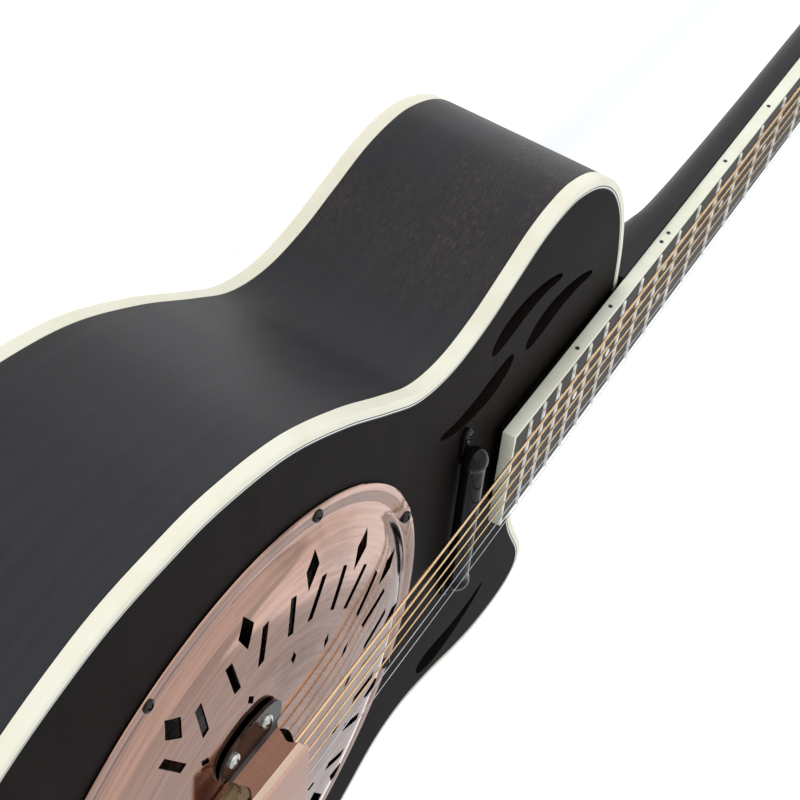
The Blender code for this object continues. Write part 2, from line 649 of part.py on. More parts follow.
def make_veneer():
    loop = [(x, y) for x, y in head_loop() if y > 0.005]
    veneer = flat("headstock_veneer", HEAD, [loop], -VENEER_THICKNESS, 0.0, BLACK_WOOD)
    pocket = box("rod_pocket", HEAD, (-0.0060, -0.01, -0.02), (0.0060, 0.0260, 0.01), cutter=True)
    cut(veneer, pocket)
    for cutter in post_bores():
        cut(veneer, cutter)


def make_nut():
    low = -BOARD_THICKNESS
    top = STRING_OVER_NUT - 0.0010
    nut = box("nut", BOARD, (-NUT_HALF_WIDTH, GAP, low), (NUT_HALF_WIDTH, NUT_LENGTH - GAP, top), CREAM)
    soften(nut, 0.0006, 1)


def make_truss_rod():
    """The rod in its channel; its nut turns at the headstock end, under a small cover."""
    z = -0.0102
    rod("truss_rod", BOARD, (0, -0.330, z), (0, 0.004, z), 0.0028, STEEL, 12)
    nut = rod("truss_rod_nut", BOARD, (0, 0.0, 0), (0, 0.0065, 0), 0.0030, NICKEL, 6)
    nut.location = (0, 0.0048, z)


def make_rod_cover():
    loop = [(-0.0090, 0.0075), (0.0090, 0.0075), (0.0100, 0.018), (0.0060, 0.034), (0.0, 0.040),
            (-0.0060, 0.034), (-0.0100, 0.018)]
    flat("truss_rod_cover", HEAD, [loop], GAP, 0.0018, GLOSS_BLACK)


# ---- tuners ---------------------------------------------------------------------------------------------
def post_places():
    """Name, side, place of the post's axis: strings 6 to 4 on the bass side, 3 to 1 on the treble side."""
    places = []
    for row, (x, y) in enumerate(zip(POST_X, POST_ROWS)):
        places.append((6 - row, -1, x, y))
        places.append((1 + row, 1, x, y))
    return places


def post_bores():
    bores = []
    for string, side, x, y in post_places():
        name = "post_bore_%d" % string
        if name not in bpy.data.objects:
            rod(name, HEAD, (side * x, y, -0.04), (side * x, y, 0.01), POST_RADIUS + 0.0008, sides=8,
                cutter=True)
        bores.append(bpy.data.objects[name])
    return bores


def make_tuner_plates():
    """One base plate for three tuners on each side, with a pair of ears round each worm shaft."""
    top = BACK_OF_HEAD - GAP
    for side, label in ((-1, "bass"), (1, "treble")):
        low_x, high_x = sorted((side * 0.0165, side * 0.0330))
        plate = box("tuner_plate_" + label, HEAD, (low_x, 0.0225, top - 0.0010), (high_x, 0.1260, top),
                    NICKEL)
        for row, (x, y) in enumerate(zip(POST_X, POST_ROWS)):
            worm_y = y + WHEEL_RADIUS + WORM_RADIUS + GAP
            worm_z = top - GEAR_DEPTH
            for k, offset in enumerate((-0.0072, 0.0058)):
                middle = side * (x + offset)
                ear = box("ear_%s_%d_%d" % (label, row, k), HEAD,
                          (middle - 0.0006, worm_y - 0.0030, worm_z - 0.0030),
                          (middle + 0.0006, worm_y + 0.0030, top - 0.0005), cutter=True)
                join(plate, ear)
            bore = rod("ear_bore_%s_%d" % (label, row), HEAD, (side * 0.01, worm_y, worm_z),
                       (side * 0.05, worm_y, worm_z), 0.0023, sides=8, cutter=True)
            cut(plate, bore)
    for string, side, x, y in post_places():
        cut(bpy.data.objects["tuner_plate_" + ("bass" if side < 0 else "treble")],
            bpy.data.objects["post_bore_%d" % string])


def make_post(string, side, x, y):
    """A string post with its worm wheel behind the tuner plate, made round its own axis."""
    wheel_top = BACK_OF_HEAD - GAP - 0.0010 - GAP
    middle = BACK_OF_HEAD - GAP - GEAR_DEPTH
    wheel_bottom = 2 * middle - wheel_top
    profile = ((0.0, POST_HEIGHT), (POST_RADIUS, POST_HEIGHT), (POST_RADIUS - 0.0005, 0.0110),
               (POST_RADIUS - 0.0005, 0.0060), (POST_RADIUS, 0.0050), (POST_RADIUS, wheel_top),
               (WHEEL_RADIUS, wheel_top), (WHEEL_RADIUS, wheel_bottom), (0.0, wheel_bottom))
    turned("string_post_%d" % string, HEAD, profile, NICKEL, (side * x, y, 0), steps=12)


def make_knob(string, side, x, y):
    """A tuner button on its shaft, with the worm, made round the shaft's axis."""
    worm_y = y + WHEEL_RADIUS + WORM_RADIUS + GAP
    worm_z = BACK_OF_HEAD - GAP - GEAR_DEPTH
    name = "tuner_button_%d" % string
    rod_piece = rod_mesh(name, (side * -0.0090, 0, 0), (side * 0.0200, 0, 0), 0.0018, 8)
    shaft = add_object(name, rod_piece, HEAD, NICKEL, (side * x, worm_y, worm_z))
    worm = rod(name + "_worm", shaft, (side * -0.0062, 0, 0), (side * 0.0048, 0, 0), WORM_RADIUS, sides=8,
               cutter=True)
    join(shaft, worm)
    bm = bmesh.new()
    place = Matrix.Translation((side * 0.0265, 0, 0)) @ Matrix.Diagonal((0.0090, 0.0082, 0.0048, 1.0))
    bmesh.ops.create_uvsphere(bm, u_segments=10, v_segments=6, radius=1.0, matrix=place)
    button = add_object(name + "_button", mesh_from(bm, name + "_button"), shaft, cutter=True)
    join(shaft, button)


# ---- strings --------------------------------------------------------------------------------------------
def string_place(index, spread):
    return -spread + 2 * spread * index / 5


def wrap_points(post, side, wrap_radius):
    """Where the string goes once round its post, sinking a little as it goes."""
    points = [post + Vector((-side * wrap_radius, -0.001, 0))]
    for k in range(7):
        a = 2 * pi * k / 7
        points.append(post + Vector((-side * wrap_radius * cos(a), wrap_radius * sin(a), -k * 0.0004)))
    return points


def make_string(index):
    """One string: ball end at the tail bar, over the saddle and the nut, and round its post."""
    radius = STRING_RADII[index]
    number = 6 - index
    board_to_body = Matrix.Translation(BOARD.location) @ Matrix.Rotation(-BOARD_TILT, 4, "X")
    head_to_body = board_to_body @ Matrix.Translation(HEAD.location) @ Matrix.Rotation(-HEAD_TILT, 4, "X")
    x_tail = string_place(index, 0.0240)
    x_saddle = string_place(index, STRING_SPREAD_SADDLE)
    x_nut = string_place(index, STRING_SPREAD_NUT)
    row = {6: 0, 5: 1, 4: 2, 1: 0, 2: 1, 3: 2}[number]
    side = -1 if index < 3 else 1
    wrap_radius = POST_RADIUS + radius + GAP
    post = Vector((side * POST_X[row], POST_ROWS[row], 0.0088))
    nut = board_to_body @ Vector((x_nut, GAP, STRING_OVER_NUT))
    nut_back = board_to_body @ Vector((x_nut, NUT_LENGTH, STRING_OVER_NUT - 0.0002))
    points = [Vector((x_tail, TAIL_BAR_Y + GAP, TAIL_BAR_Z)), Vector((x_saddle, 0.0, STRING_Z_SADDLE)), nut,
              nut_back]
    points += [head_to_body @ p for p in wrap_points(post, side, wrap_radius)]
    tube("string_%d" % number, BODY, points, radius, BRONZE if index < 4 else STEEL)


# ---- electrics ------------------------------------------------------------------------------------------
def make_pickup():
    """A tube pickup across the strings, closed by round ends, on a thin base with a screw tab at each end."""
    axis_z = PICKUP_RADIUS + 0.0004
    half = PICKUP_HALF_LENGTH
    profile = [(0.0, half)]
    for degrees_up in (60, 30, 0):
        a = radians(degrees_up)
        profile.append((PICKUP_RADIUS * cos(a), half - PICKUP_RADIUS * (1 - sin(a))))
    profile += [(r, -z) for r, z in reversed(profile)]
    pickup = turned("pickup", BODY, profile, GLOSS_BLACK, (0, PICKUP_Y, axis_z), steps=16)
    pickup.rotation_euler = (0, pi / 2, 0)
    for side in (-1, 1):
        low_x, high_x = sorted((side * half * 0.8, side * 0.0600))
        tab = box("pickup_tab", BODY, (low_x, PICKUP_Y - 0.004, 0.0004), (high_x, PICKUP_Y + 0.004, 0.0020),
                  cutter=True)
        join(pickup, tab)


def make_controls():
    """Two knobs on the soundboard, each with its own shaft, and their potentiometers below it."""
    for label, (x, y) in CONTROL_PLACES.items():
        below = -TOP_THICKNESS - GAP
        pot = ((0.0, below - 0.0100), (0.0034, below - 0.0100), (0.0034, below), (0.0085, below),
               (0.0085, below - 0.012), (0.0, below - 0.012))
        turned(label + "_pot", BODY, pot, STEEL, (x, y, 0), steps=16)
        knob = ((0.0, 0.0160), (0.0085, 0.0160), (0.0095, 0.0150), (0.0105, 0.0010), (0.0030, 0.0010),
                (0.0030, below - 0.0090), (0.0, below - 0.0090))
        turned(label + "_knob", BODY, knob, GLOSS_BLACK, (x, y, 0), steps=16)


make_soundboard()
make_back()
make_sides()
make_top_binding()
make_blocks()
make_braces()
make_soundwell()
make_cone()
make_biscuit_and_saddle()
make_cover_plate()
make_hand_rest()
make_tailpiece()
make_end_jack()
make_fingerboard()
make_riser()
make_neck()
make_veneer()
make_nut()
make_truss_rod()
make_rod_cover()
make_tuner_plates()
for post in post_places():
    make_post(*post)
    make_knob(*post)
for string_index in range(6):
    make_string(string_index)
make_pickup()
make_controls()

for part in PARTS.objects:
    if part.type == "MESH" and not any(m.type == "SCREW" for m in part.modifiers):
        part.data.shade_smooth()
        part.data.set_sharp_from_angle(angle=radians(30))
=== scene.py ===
# %% [markdown]
# # A cutaway resonator guitar
#
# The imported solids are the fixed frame. Each visible piece is made again here with its fine shape, in the
# same place, and rides on the body of the solid that it stands for. The guitar lies on its back. Its
# soundboard, fingerboard and headstock each lean a little, so each gets a frame of its own in which it is
# built flat.

# %% Load the frame
import json
from math import atan2, cos, pi, radians, sin, sqrt

import bmesh
import bpy
from mathutils import Matrix, Vector


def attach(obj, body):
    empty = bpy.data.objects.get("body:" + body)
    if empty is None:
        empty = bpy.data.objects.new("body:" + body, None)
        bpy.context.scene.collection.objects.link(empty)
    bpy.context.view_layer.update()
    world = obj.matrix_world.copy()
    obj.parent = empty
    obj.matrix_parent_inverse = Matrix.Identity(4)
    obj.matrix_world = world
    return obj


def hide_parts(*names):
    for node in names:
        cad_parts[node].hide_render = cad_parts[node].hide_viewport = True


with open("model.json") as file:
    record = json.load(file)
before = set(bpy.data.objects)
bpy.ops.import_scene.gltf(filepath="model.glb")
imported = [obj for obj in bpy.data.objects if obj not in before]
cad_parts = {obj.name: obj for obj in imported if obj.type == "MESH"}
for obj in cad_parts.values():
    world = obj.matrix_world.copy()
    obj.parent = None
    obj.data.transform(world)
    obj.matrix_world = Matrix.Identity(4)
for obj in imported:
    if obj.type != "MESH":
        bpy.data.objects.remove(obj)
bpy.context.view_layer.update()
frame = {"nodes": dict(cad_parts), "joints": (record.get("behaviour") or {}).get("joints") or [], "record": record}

mounts = {mount["name"]: mount for mount in frame["record"]["mounts"]}
joints = {joint["name"]: joint for joint in frame["joints"]}

# %% [markdown]
# The three frames are worked out from places that the record states: the soundboard's face, the axis of the
# sixth string's post, and the truss rod nut. Each frame keeps X level, so one direction is enough to turn
# it.

# %% Frames of the soundboard, fingerboard and headstock
def leaning_frame(up, known, local):
    """A frame that leans about X only, in which the known world point has the given local place."""
    z_axis = Vector(up).normalized()
    x_axis = Vector((1, 0, 0))
    turn = Matrix((x_axis, z_axis.cross(x_axis), z_axis)).transposed()
    return Matrix.Translation(Vector(known) - turn @ Vector(local)) @ turn.to_4x4()


FLOOR = Matrix.Identity(4)
FACE_MOUNT_Y = 0.145
ROD_NUT_PLACE = (0, 0.0048, -0.0102)       # in the fingerboard's frame
face = mounts["soundboard_face"]
BODY = leaning_frame(face["axis"], face["pos_m"], (0, FACE_MOUNT_Y, 0))
rod_joint = joints["truss_rod_nut_turn"]
board_up = Vector((1, 0, 0)).cross(Vector(rod_joint["axis"]))
BOARD = leaning_frame(board_up, rod_joint["pos_m"], ROD_NUT_PLACE)
post_joint = joints["string_post_6_turn"]
POST_ROWS = (0.034, 0.071, 0.108)          # the posts in the headstock's frame, along it and to one side
POST_X = (0.0240, 0.0255, 0.0270)
HEAD = leaning_frame(post_joint["axis"], post_joint["pos_m"], (-POST_X[0], POST_ROWS[0], 0))
SCALE_LENGTH = 0.648
print("soundboard %.1f mm up, nut %.1f mm up" % (BODY.translation.z * 1000, BOARD.translation.z * 1000))

# %% [markdown]
# ## Camera and light
# The view looks low along the bass side towards the neck, with the guitar's length rising to the right. A
# long lens keeps the near cone and the far bout at nearly the same scale. The floor is plain and pale. A
# wide sun that metal doesn't mirror lights the floor evenly, and rectangular softboxes give the metal and
# the satin wood something plain to reflect.

# %% Camera
CAMERA_PLACE = (-0.7023, -0.3449, 0.2359)          # these three are in the soundboard's frame
LOOKING = Vector((0.7506, 0.5854, -0.3064)).normalized()
UPWARDS = Vector((-0.6566, 0.6088, -0.4452))
LENS_MM = 98.15
SENSOR_MM = 36.0
camera_data = bpy.data.cameras.new("camera")
camera_data.lens = LENS_MM
camera_data.sensor_width = SENSOR_MM
camera_data.clip_end = 50.0
camera = bpy.data.objects.new("camera", camera_data)
bpy.context.scene.collection.objects.link(camera)
picture_right = LOOKING.cross(UPWARDS).normalized()
camera_turn = Matrix((picture_right, picture_right.cross(LOOKING), -LOOKING)).transposed().to_4x4()
camera.matrix_world = BODY @ Matrix.Translation(CAMERA_PLACE) @ camera_turn
bpy.context.scene.camera = camera
bpy.context.scene.view_settings.view_transform = "Standard"
print("camera %.2f m from the cone" % (camera.matrix_world.translation - BODY.translation).length)


# %% Light
def softbox(name, place, aim, width, height, power):
    """A rectangular area light at a place, turned to an aim point; sizes in metres, power in watts."""
    data = bpy.data.lights.new(name, "AREA")
    data.shape = "RECTANGLE"
    data.size = width
    data.size_y = height
    data.energy = power
    lamp = bpy.data.objects.new(name, data)
    bpy.context.scene.collection.objects.link(lamp)
    lamp.location = place
    lamp.rotation_euler = (Vector(aim) - Vector(place)).to_track_quat("-Z", "Y").to_euler()


softbox("side_softbox", (-2.2, 0.5, 1.0), (0, 0.1, 0.05), 3.6, 2.4, 15)
softbox("overhead_softbox", (-0.1, 0.7, 2.2), (0, 0.15, 0.1), 3.0, 2.4, 5)
softbox("far_softbox", (1.3, 2.3, 1.2), (0, 0.1, 0.1), 2.2, 1.4, 5)
sun_data = bpy.data.lights.new("floor_light", "SUN")
sun_data.energy = 0.9
sun_data.angle = radians(70)
sun = bpy.data.objects.new("floor_light", sun_data)
bpy.context.scene.collection.objects.link(sun)
sun.rotation_euler = (radians(12), radians(-14), 0)
sun.visible_glossy = False
world = bpy.data.worlds.new("studio")
bpy.context.scene.world = world
world.use_nodes = True
sky = world.node_tree.nodes["Background"].inputs
sky["Color"].default_value = (0.9, 0.95, 1.0, 1.0)
sky["Strength"].default_value = 0.74
print("lights:", len(bpy.data.lights))

# %% [markdown]
# ## Small helpers for node trees
# Every finish and every repeated shape is a node tree. `add` makes one node and fills its inputs: a number
# is set on the socket, and another node or socket is linked to it.

# %% Helpers for nodes
def feed(tree, socket, value):
    if isinstance(value, bpy.types.Node):
        value = value.outputs[0]
    if isinstance(value, bpy.types.NodeSocket):
        tree.links.new(value, socket)
    else:
        socket.default_value = value


def add(tree, kind, inputs=None, **settings):
    node = tree.nodes.new(kind)
    for key, value in settings.items():
        setattr(node, key, value)
    for key, value in (inputs or {}).items():
        feed(tree, node.inputs[key], value)
    return node


def sums(tree, operation, a, b=0.0):
    return add(tree, "ShaderNodeMath", {0: a, 1: b}, operation=operation)


def blended(tree, amount, a, b):
    """A colour between a and b, each a node's output or red, green and blue."""
    a, b = [(*end, 1) if isinstance(end, tuple) else end for end in (a, b)]
    return add(tree, "ShaderNodeMix", {0: amount, 6: a, 7: b}, data_type="RGBA").outputs[2]


def times(colour, factor):
    return tuple(c * factor for c in colour)


def stretched_to(tree, value, low, high, new_low=0.0, new_high=1.0):
    """Map low..high smoothly to new_low..new_high, and hold the ends."""
    return add(tree, "ShaderNodeMapRange", {0: value, 1: low, 2: high, 3: new_low, 4: new_high},
               interpolation_type="SMOOTHSTEP")


def noise(tree, vector, scale, detail=3.0, roughness=0.5):
    return add(tree, "ShaderNodeTexNoise", {"Vector": vector, "Scale": scale, "Detail": detail,
                                            "Roughness": roughness})


def place_on(tree, frame_matrix, scale=(1, 1, 1), source="Object"):
    """Object or UV coordinates, moved into a piece's own frame and stretched."""
    coordinates = add(tree, "ShaderNodeTexCoord")
    inverse = frame_matrix.inverted()
    moved = add(tree, "ShaderNodeMapping", {0: coordinates.outputs[source], "Location": inverse.translation,
                                            "Rotation": inverse.to_euler()})
    return add(tree, "ShaderNodeMapping", {0: moved, "Scale": scale})


def new_finish(name):
    material = bpy.data.materials.new(name)
    material.use_nodes = True
    return material, material.node_tree, material.node_tree.nodes["Principled BSDF"]


def dress(tree, shader, colour=None, roughness=None, height=None, depth=0.0001, strength=1.0, **fixed):
    """Connect the colour, roughness and bump of a finish, and set what is the same all over."""
    if colour is not None:
        feed(tree, shader.inputs["Base Color"], colour)
    if roughness is not None:
        feed(tree, shader.inputs["Roughness"], roughness)
    if height is not None:
        bump = add(tree, "ShaderNodeBump", {"Strength": strength, "Distance": depth, "Height": height})
        tree.links.new(bump.outputs[0], shader.inputs["Normal"])
    for key, value in fixed.items():
        shader.inputs[key.replace("_", " ")].default_value = value


print("node helpers ready")

# %% [markdown]
# ## Finishes
# The body is mahogany under a thin charcoal stain. Its open pores stay visible as short brown flecks along
# the grain, thicker in some patches than in others. The flecks are one noise, stretched along the grain and
# cut off at a threshold, and a second, broad noise decides where they gather. On the bent sides the grain
# runs round the outline, so the sides carry a UV map in metres. Flat pieces use their own frame.

# %% Stained wood
def stained_wood(name, stain, fleck, gloss, frame_matrix=FLOOR, source="Object", along_x=True, pores=0.62,
                 sheen=0.35, fineness=(230, 1500), flecks_from=None):
    """A stain with flecks along the grain; `flecks_from` is where along the body they fade in."""
    material, tree, shader = new_finish(name)
    long, thin = fineness
    grain = (long, thin, thin) if along_x else (thin, long, thin)
    broad = (5, 16, 16) if along_x else (16, 5, 16)
    fine = noise(tree, place_on(tree, frame_matrix, grain, source), 1.0, 2.0, 0.6)
    gathered = noise(tree, place_on(tree, frame_matrix, broad, source), 1.0, 3.0)
    streaks = (broad[0], broad[1] * 14, broad[2] * 14)
    figure = noise(tree, place_on(tree, frame_matrix, streaks, source), 1.0, 4.0)
    patch = stretched_to(tree, gathered, 0.44, 0.62)
    if flecks_from:
        along = add(tree, "ShaderNodeSeparateXYZ", {0: place_on(tree, BODY)})
        patch = sums(tree, "MULTIPLY", patch, stretched_to(tree, along.outputs[1], *flecks_from))
    mark = stretched_to(tree, fine, pores - 0.04, pores + 0.05)
    flecks = sums(tree, "MULTIPLY", mark, sums(tree, "ADD", sums(tree, "MULTIPLY", patch, 0.85), 0.08))
    shade = blended(tree, stretched_to(tree, figure, 0.3, 0.75), stain, times(stain, 1.3))
    colour = blended(tree, flecks, shade, fleck)
    worn = sums(tree, "ADD", sums(tree, "MULTIPLY", gathered, 0.12), gloss - 0.06)
    pits = sums(tree, "SUBTRACT", 1.0, mark)
    dress(tree, shader, colour, worn, pits, 0.00012, 0.25, Specular_IOR_Level=sheen)
    return material


# On the sides the flecks fade in towards the neck end.
SIDE_WOOD = stained_wood("stained_side_wood", (0.0125, 0.0128, 0.0150), (0.105, 0.050, 0.029), 0.46,
                         source="UV", pores=0.585, sheen=0.24, fineness=(240, 3300), flecks_from=(0.150, 0.195))
TOP_WOOD = stained_wood("stained_top_wood", (0.0085, 0.0066, 0.0058), (0.040, 0.020, 0.012), 0.50, BODY,
                        along_x=False, pores=0.66, sheen=0.02)
BACK_WOOD = stained_wood("stained_back_wood", (0.0120, 0.0118, 0.0130), (0.075, 0.034, 0.018), 0.46, FLOOR,
                         along_x=False)
NECK_WOOD = stained_wood("stained_neck_wood", (0.0100, 0.0098, 0.0108), (0.055, 0.026, 0.015), 0.42, BOARD,
                         along_x=False, pores=0.65, sheen=0.2)
BOARD_WOOD = stained_wood("dark_fingerboard_wood", (0.020, 0.0155, 0.0135), (0.060, 0.042, 0.032), 0.52, BOARD,
                          along_x=False, pores=0.60)
WOODS = (SIDE_WOOD, TOP_WOOD, BACK_WOOD, NECK_WOOD, BOARD_WOOD)
print("stained woods:", ", ".join(wood.name for wood in WOODS))


# %% Raw wood inside the box
def raw_wood(name, light, dark, frame_matrix, ring_scale=(9, 70, 70)):
    """Unfinished wood: wavy year rings and fine pores."""
    material, tree, shader = new_finish(name)
    rings = noise(tree, place_on(tree, frame_matrix, ring_scale), 1.0, 4.0, 0.6)
    pores = noise(tree, place_on(tree, frame_matrix, times(ring_scale, 12)), 1.0, 2.0)
    tone = sums(tree, "ADD", sums(tree, "MULTIPLY", rings, 0.75), sums(tree, "MULTIPLY", pores, 0.25))
    colour = blended(tree, stretched_to(tree, tone, 0.35, 0.65), dark, light)
    dress(tree, shader, colour, stretched_to(tree, pores, 0.3, 0.7, 0.6, 0.8), pores, 0.0001, 0.4)
    return material


SPRUCE = raw_wood("raw_spruce", (0.60, 0.42, 0.23), (0.38, 0.23, 0.11), BODY)
MAHOGANY = raw_wood("raw_mahogany", (0.34, 0.17, 0.09), (0.20, 0.09, 0.045), BODY, (60, 9, 60))
MAPLE = raw_wood("raw_maple", (0.66, 0.49, 0.30), (0.52, 0.36, 0.20), BODY, (14, 90, 90))
print("raw woods:", SPRUCE.name, MAHOGANY.name, MAPLE.name)

# %% [markdown]
# Binding is celluloid scraped level with the wood. It isn't perfectly even: faint clouds of a warmer tone
# and fine scraper marks along its edge keep it from looking like flat paint. The same recipe, with other
# colours, makes the black and white purfling lines, the nut and the pearl dots.

# %% Plastics
def celluloid(name, colour, cloud, roughness, cloud_scale=55.0, **fixed):
    material, tree, shader = new_finish(name)
    broad = noise(tree, place_on(tree, BODY), cloud_scale, 4.0)
    marks = noise(tree, place_on(tree, BODY), 2600.0, 2.0)
    tone = blended(tree, stretched_to(tree, broad, 0.35, 0.75), colour, cloud)
    scraped = stretched_to(tree, marks, 0.3, 0.7, roughness - 0.05, roughness + 0.08)
    dress(tree, shader, tone, scraped, marks, 0.00003, 0.25, **fixed)
    return material


CREAM = celluloid("cream_celluloid", (0.745, 0.715, 0.59), (0.70, 0.66, 0.52), 0.38, Specular_IOR_Level=0.3)
BOARD_CREAM = celluloid("fingerboard_celluloid", (0.76, 0.745, 0.62), (0.69, 0.675, 0.54), 0.40,
                        Specular_IOR_Level=0.3)
BLACK_LINE = celluloid("black_fibre", (0.012, 0.012, 0.013), (0.02, 0.02, 0.02), 0.5)
WHITE_LINE = celluloid("white_fibre", (0.82, 0.81, 0.77), (0.74, 0.73, 0.68), 0.5)
NUT_BONE = celluloid("bone_nut", (0.85, 0.80, 0.66), (0.74, 0.66, 0.48), 0.36, 300.0)
PEARL = celluloid("pearl_dot", (0.62, 0.64, 0.60), (0.42, 0.48, 0.48), 0.16, 420.0, Coat_Weight=0.6)
LACQUER = celluloid("gloss_black_lacquer", (0.004, 0.004, 0.0045), (0.006, 0.006, 0.006), 0.12, 90.0,
                    Specular_IOR_Level=0.16, Coat_Weight=0.1, Coat_Roughness=0.04)
# Painted shade: a near-black finish for the screws' cross recesses, where shade falls.
RECESS_SHADE = celluloid("painted_recess_shade", (0.003, 0.003, 0.003), (0.006, 0.006, 0.006), 0.7)
print("plastics made")

# %% [markdown]
# Metal gets its character from how it was worked. Polished nickel has faint wipe marks. The spun cone and
# the cover plate were turned against a tool, so their marks are circles about the cone's axis: the pattern
# reads the distance from that axis, and anisotropic gloss spreads the highlight across the marks, as on a
# lathe-turned lid.

# %% Metals
CONE_Y = 0.0015                  # middle of the cone and cover plate, in the soundboard's frame
CONE_AXIS = BODY @ Matrix.Translation((0, CONE_Y, 0))


def plain_metal(name, colour, tarnish, low, high, scale=90.0, stretch=(1, 1, 1)):
    """Metal with faint wipe marks and a little tarnish; its roughness goes from low to high."""
    material, tree, shader = new_finish(name)
    cloud = noise(tree, place_on(tree, BODY, stretch), scale, 5.0, 0.6)
    marks = noise(tree, place_on(tree, BODY, times(stretch, 14)), scale, 2.0)
    tone = blended(tree, stretched_to(tree, cloud, 0.42, 0.72), colour, tarnish)
    rough = stretched_to(tree, marks, 0.3, 0.7, low, high)
    dress(tree, shader, tone, rough, marks, 0.00002, 0.12, Metallic=1.0)
    return material


def turned_metal(name, colour, tarnish, low, high, lines_per_m, patch_scale, depth, strength=0.5):
    """Metal with circular tool marks about the cone's axis and patches of patina; roughness low to high."""
    material, tree, shader = new_finish(name)
    local = place_on(tree, CONE_AXIS)
    split = add(tree, "ShaderNodeSeparateXYZ", {0: local})
    x, y = split.outputs[0], split.outputs[1]
    radius = sums(tree, "SQRT", sums(tree, "ADD", sums(tree, "MULTIPLY", x, x), sums(tree, "MULTIPLY", y, y)))
    angle = sums(tree, "ARCTAN2", y, x)
    ring = add(tree, "ShaderNodeCombineXYZ", {0: sums(tree, "MULTIPLY", radius, lines_per_m),
                                              1: sums(tree, "MULTIPLY", angle, 1.3), 2: 0.0})
    marks = noise(tree, ring, 1.0, 3.0, 0.7)
    coarse = add(tree, "ShaderNodeCombineXYZ", {0: sums(tree, "MULTIPLY", radius, lines_per_m * 0.09),
                                                1: sums(tree, "MULTIPLY", angle, 2.2), 2: 3.0})
    bands = noise(tree, coarse, 1.0, 3.0, 0.6)
    patches = noise(tree, local, patch_scale, 5.0, 0.62)
    dirt = sums(tree, "MULTIPLY", stretched_to(tree, patches, 0.44, 0.70),
                stretched_to(tree, bands, 0.3, 0.7, 0.5, 1))
    streaked = blended(tree, stretched_to(tree, bands, 0.34, 0.66, 0.0, 0.5), colour, tarnish)
    tone = blended(tree, sums(tree, "MULTIPLY", dirt, 0.75), streaked, times(tarnish, 0.62))
    rough = sums(tree, "ADD", stretched_to(tree, marks, 0.3, 0.7, low, high),
                 sums(tree, "MULTIPLY", dirt, 0.10))
    dress(tree, shader, tone, rough, marks, depth, strength, Metallic=1.0, Anisotropic=0.25)
    outward = add(tree, "ShaderNodeVectorMath", {0: local, 1: (1, 1, 0)}, operation="MULTIPLY")
    spun = add(tree, "ShaderNodeVectorMath", {0: (0, 0, 1), 1: outward}, operation="CROSS_PRODUCT")
    tree.links.new(spun.outputs[0], shader.inputs["Tangent"])
    return material


NICKEL = plain_metal("polished_nickel", (0.66, 0.63, 0.58), (0.50, 0.47, 0.43), 0.10, 0.22)
DARK_NICKEL = plain_metal("dark_nickel", (0.075, 0.060, 0.052), (0.035, 0.028, 0.025), 0.08, 0.16)
STEEL = plain_metal("plain_steel", (0.64, 0.64, 0.65), (0.50, 0.50, 0.52), 0.18, 0.30)
BRONZE = plain_metal("phosphor_bronze_wrap", (0.86, 0.60, 0.33), (0.72, 0.46, 0.23), 0.20, 0.32)
FRET_METAL = plain_metal("fret_nickel_silver", (0.86, 0.83, 0.77), (0.74, 0.71, 0.66), 0.26, 0.36)
SCREW_BLACK = plain_metal("blackened_screw_steel", (0.055, 0.052, 0.052), (0.03, 0.03, 0.03), 0.22, 0.36)
BRUSHED = (0.02, 40, 0.02)                # brush lines that run along a bent strip
REST_COPPER = plain_metal("brushed_copper_strip", (0.70, 0.435, 0.34), (0.60, 0.365, 0.285), 0.16, 0.26, 60.0,
                          BRUSHED)
# Painted highlight: the rounded ridge of the hand rest gets a brighter bronze than the copper top.
REST_RIDGE_HIGHLIGHT = plain_metal("bronze_ridge_painted_highlight", (0.78, 0.56, 0.43), (0.60, 0.41, 0.31), 0.14, 0.22, 60.0,
                         BRUSHED)
# Painted shade: the wall of the same copper sheet gets a much darker copper.
REST_WALL_SHADE = plain_metal("brushed_copper_painted_shade", (0.24, 0.118, 0.080), (0.135, 0.066, 0.046), 0.20, 0.30, 60.0,
                        BRUSHED)
PLATE_COPPER = turned_metal("brushed_antique_copper", (0.555, 0.335, 0.258), (0.335, 0.190, 0.146), 0.050, 0.10,
                            5200, 14.0, 0.00003, 0.09)
# Bare aluminium is brighter. The cone's colour is darkened as painted shade from inside the body,
# so that the openings above it read dark.
SHADED_CONE_ALUMINIUM = turned_metal("spun_aluminium", (0.10, 0.10, 0.102), (0.05, 0.05, 0.052), 0.22, 0.40,
                              900, 30.0, 0.0002)
print("metals made")

# %% [markdown]
# ## Small helpers for shapes
# Most pieces are one of four shapes: a profile turned on a lathe, a skin over a row of loops, a flat
# outline cut from a sheet, or a rod. Each helper returns a bmesh in the piece's own frame, and `piece`
# turns it into an object whose place is in its mesh.

# %% Helpers for pieces
def link(name, mesh):
    obj = bpy.data.objects.new(name, mesh)
    bpy.context.scene.collection.objects.link(obj)
    return obj


def smoothed(mesh, crease):
    mesh.shade_smooth()
    mesh.set_sharp_from_angle(angle=radians(crease))


def piece(name, bm, material, place=BODY, crease=35):
    """A finished object from a bmesh, smooth except where its faces meet at more than the crease angle."""
    mesh = bpy.data.meshes.new(name)
    bmesh.ops.recalc_face_normals(bm, faces=bm.faces)
    bm.to_mesh(mesh)
    bm.free()
    mesh.transform(place)
    for finish in material if isinstance(material, (list, tuple)) else (material,):
        mesh.materials.append(finish)
    smoothed(mesh, crease)
    return link(name, mesh)


def settled(obj, crease=35):
    """Replace an object's mesh by what its modifiers make of it."""
    graph = bpy.context.evaluated_depsgraph_get()
    mesh = bpy.data.meshes.new_from_object(obj.evaluated_get(graph))
    obj.modifiers.clear()
    obj.data = mesh
    smoothed(mesh, crease)
    return obj


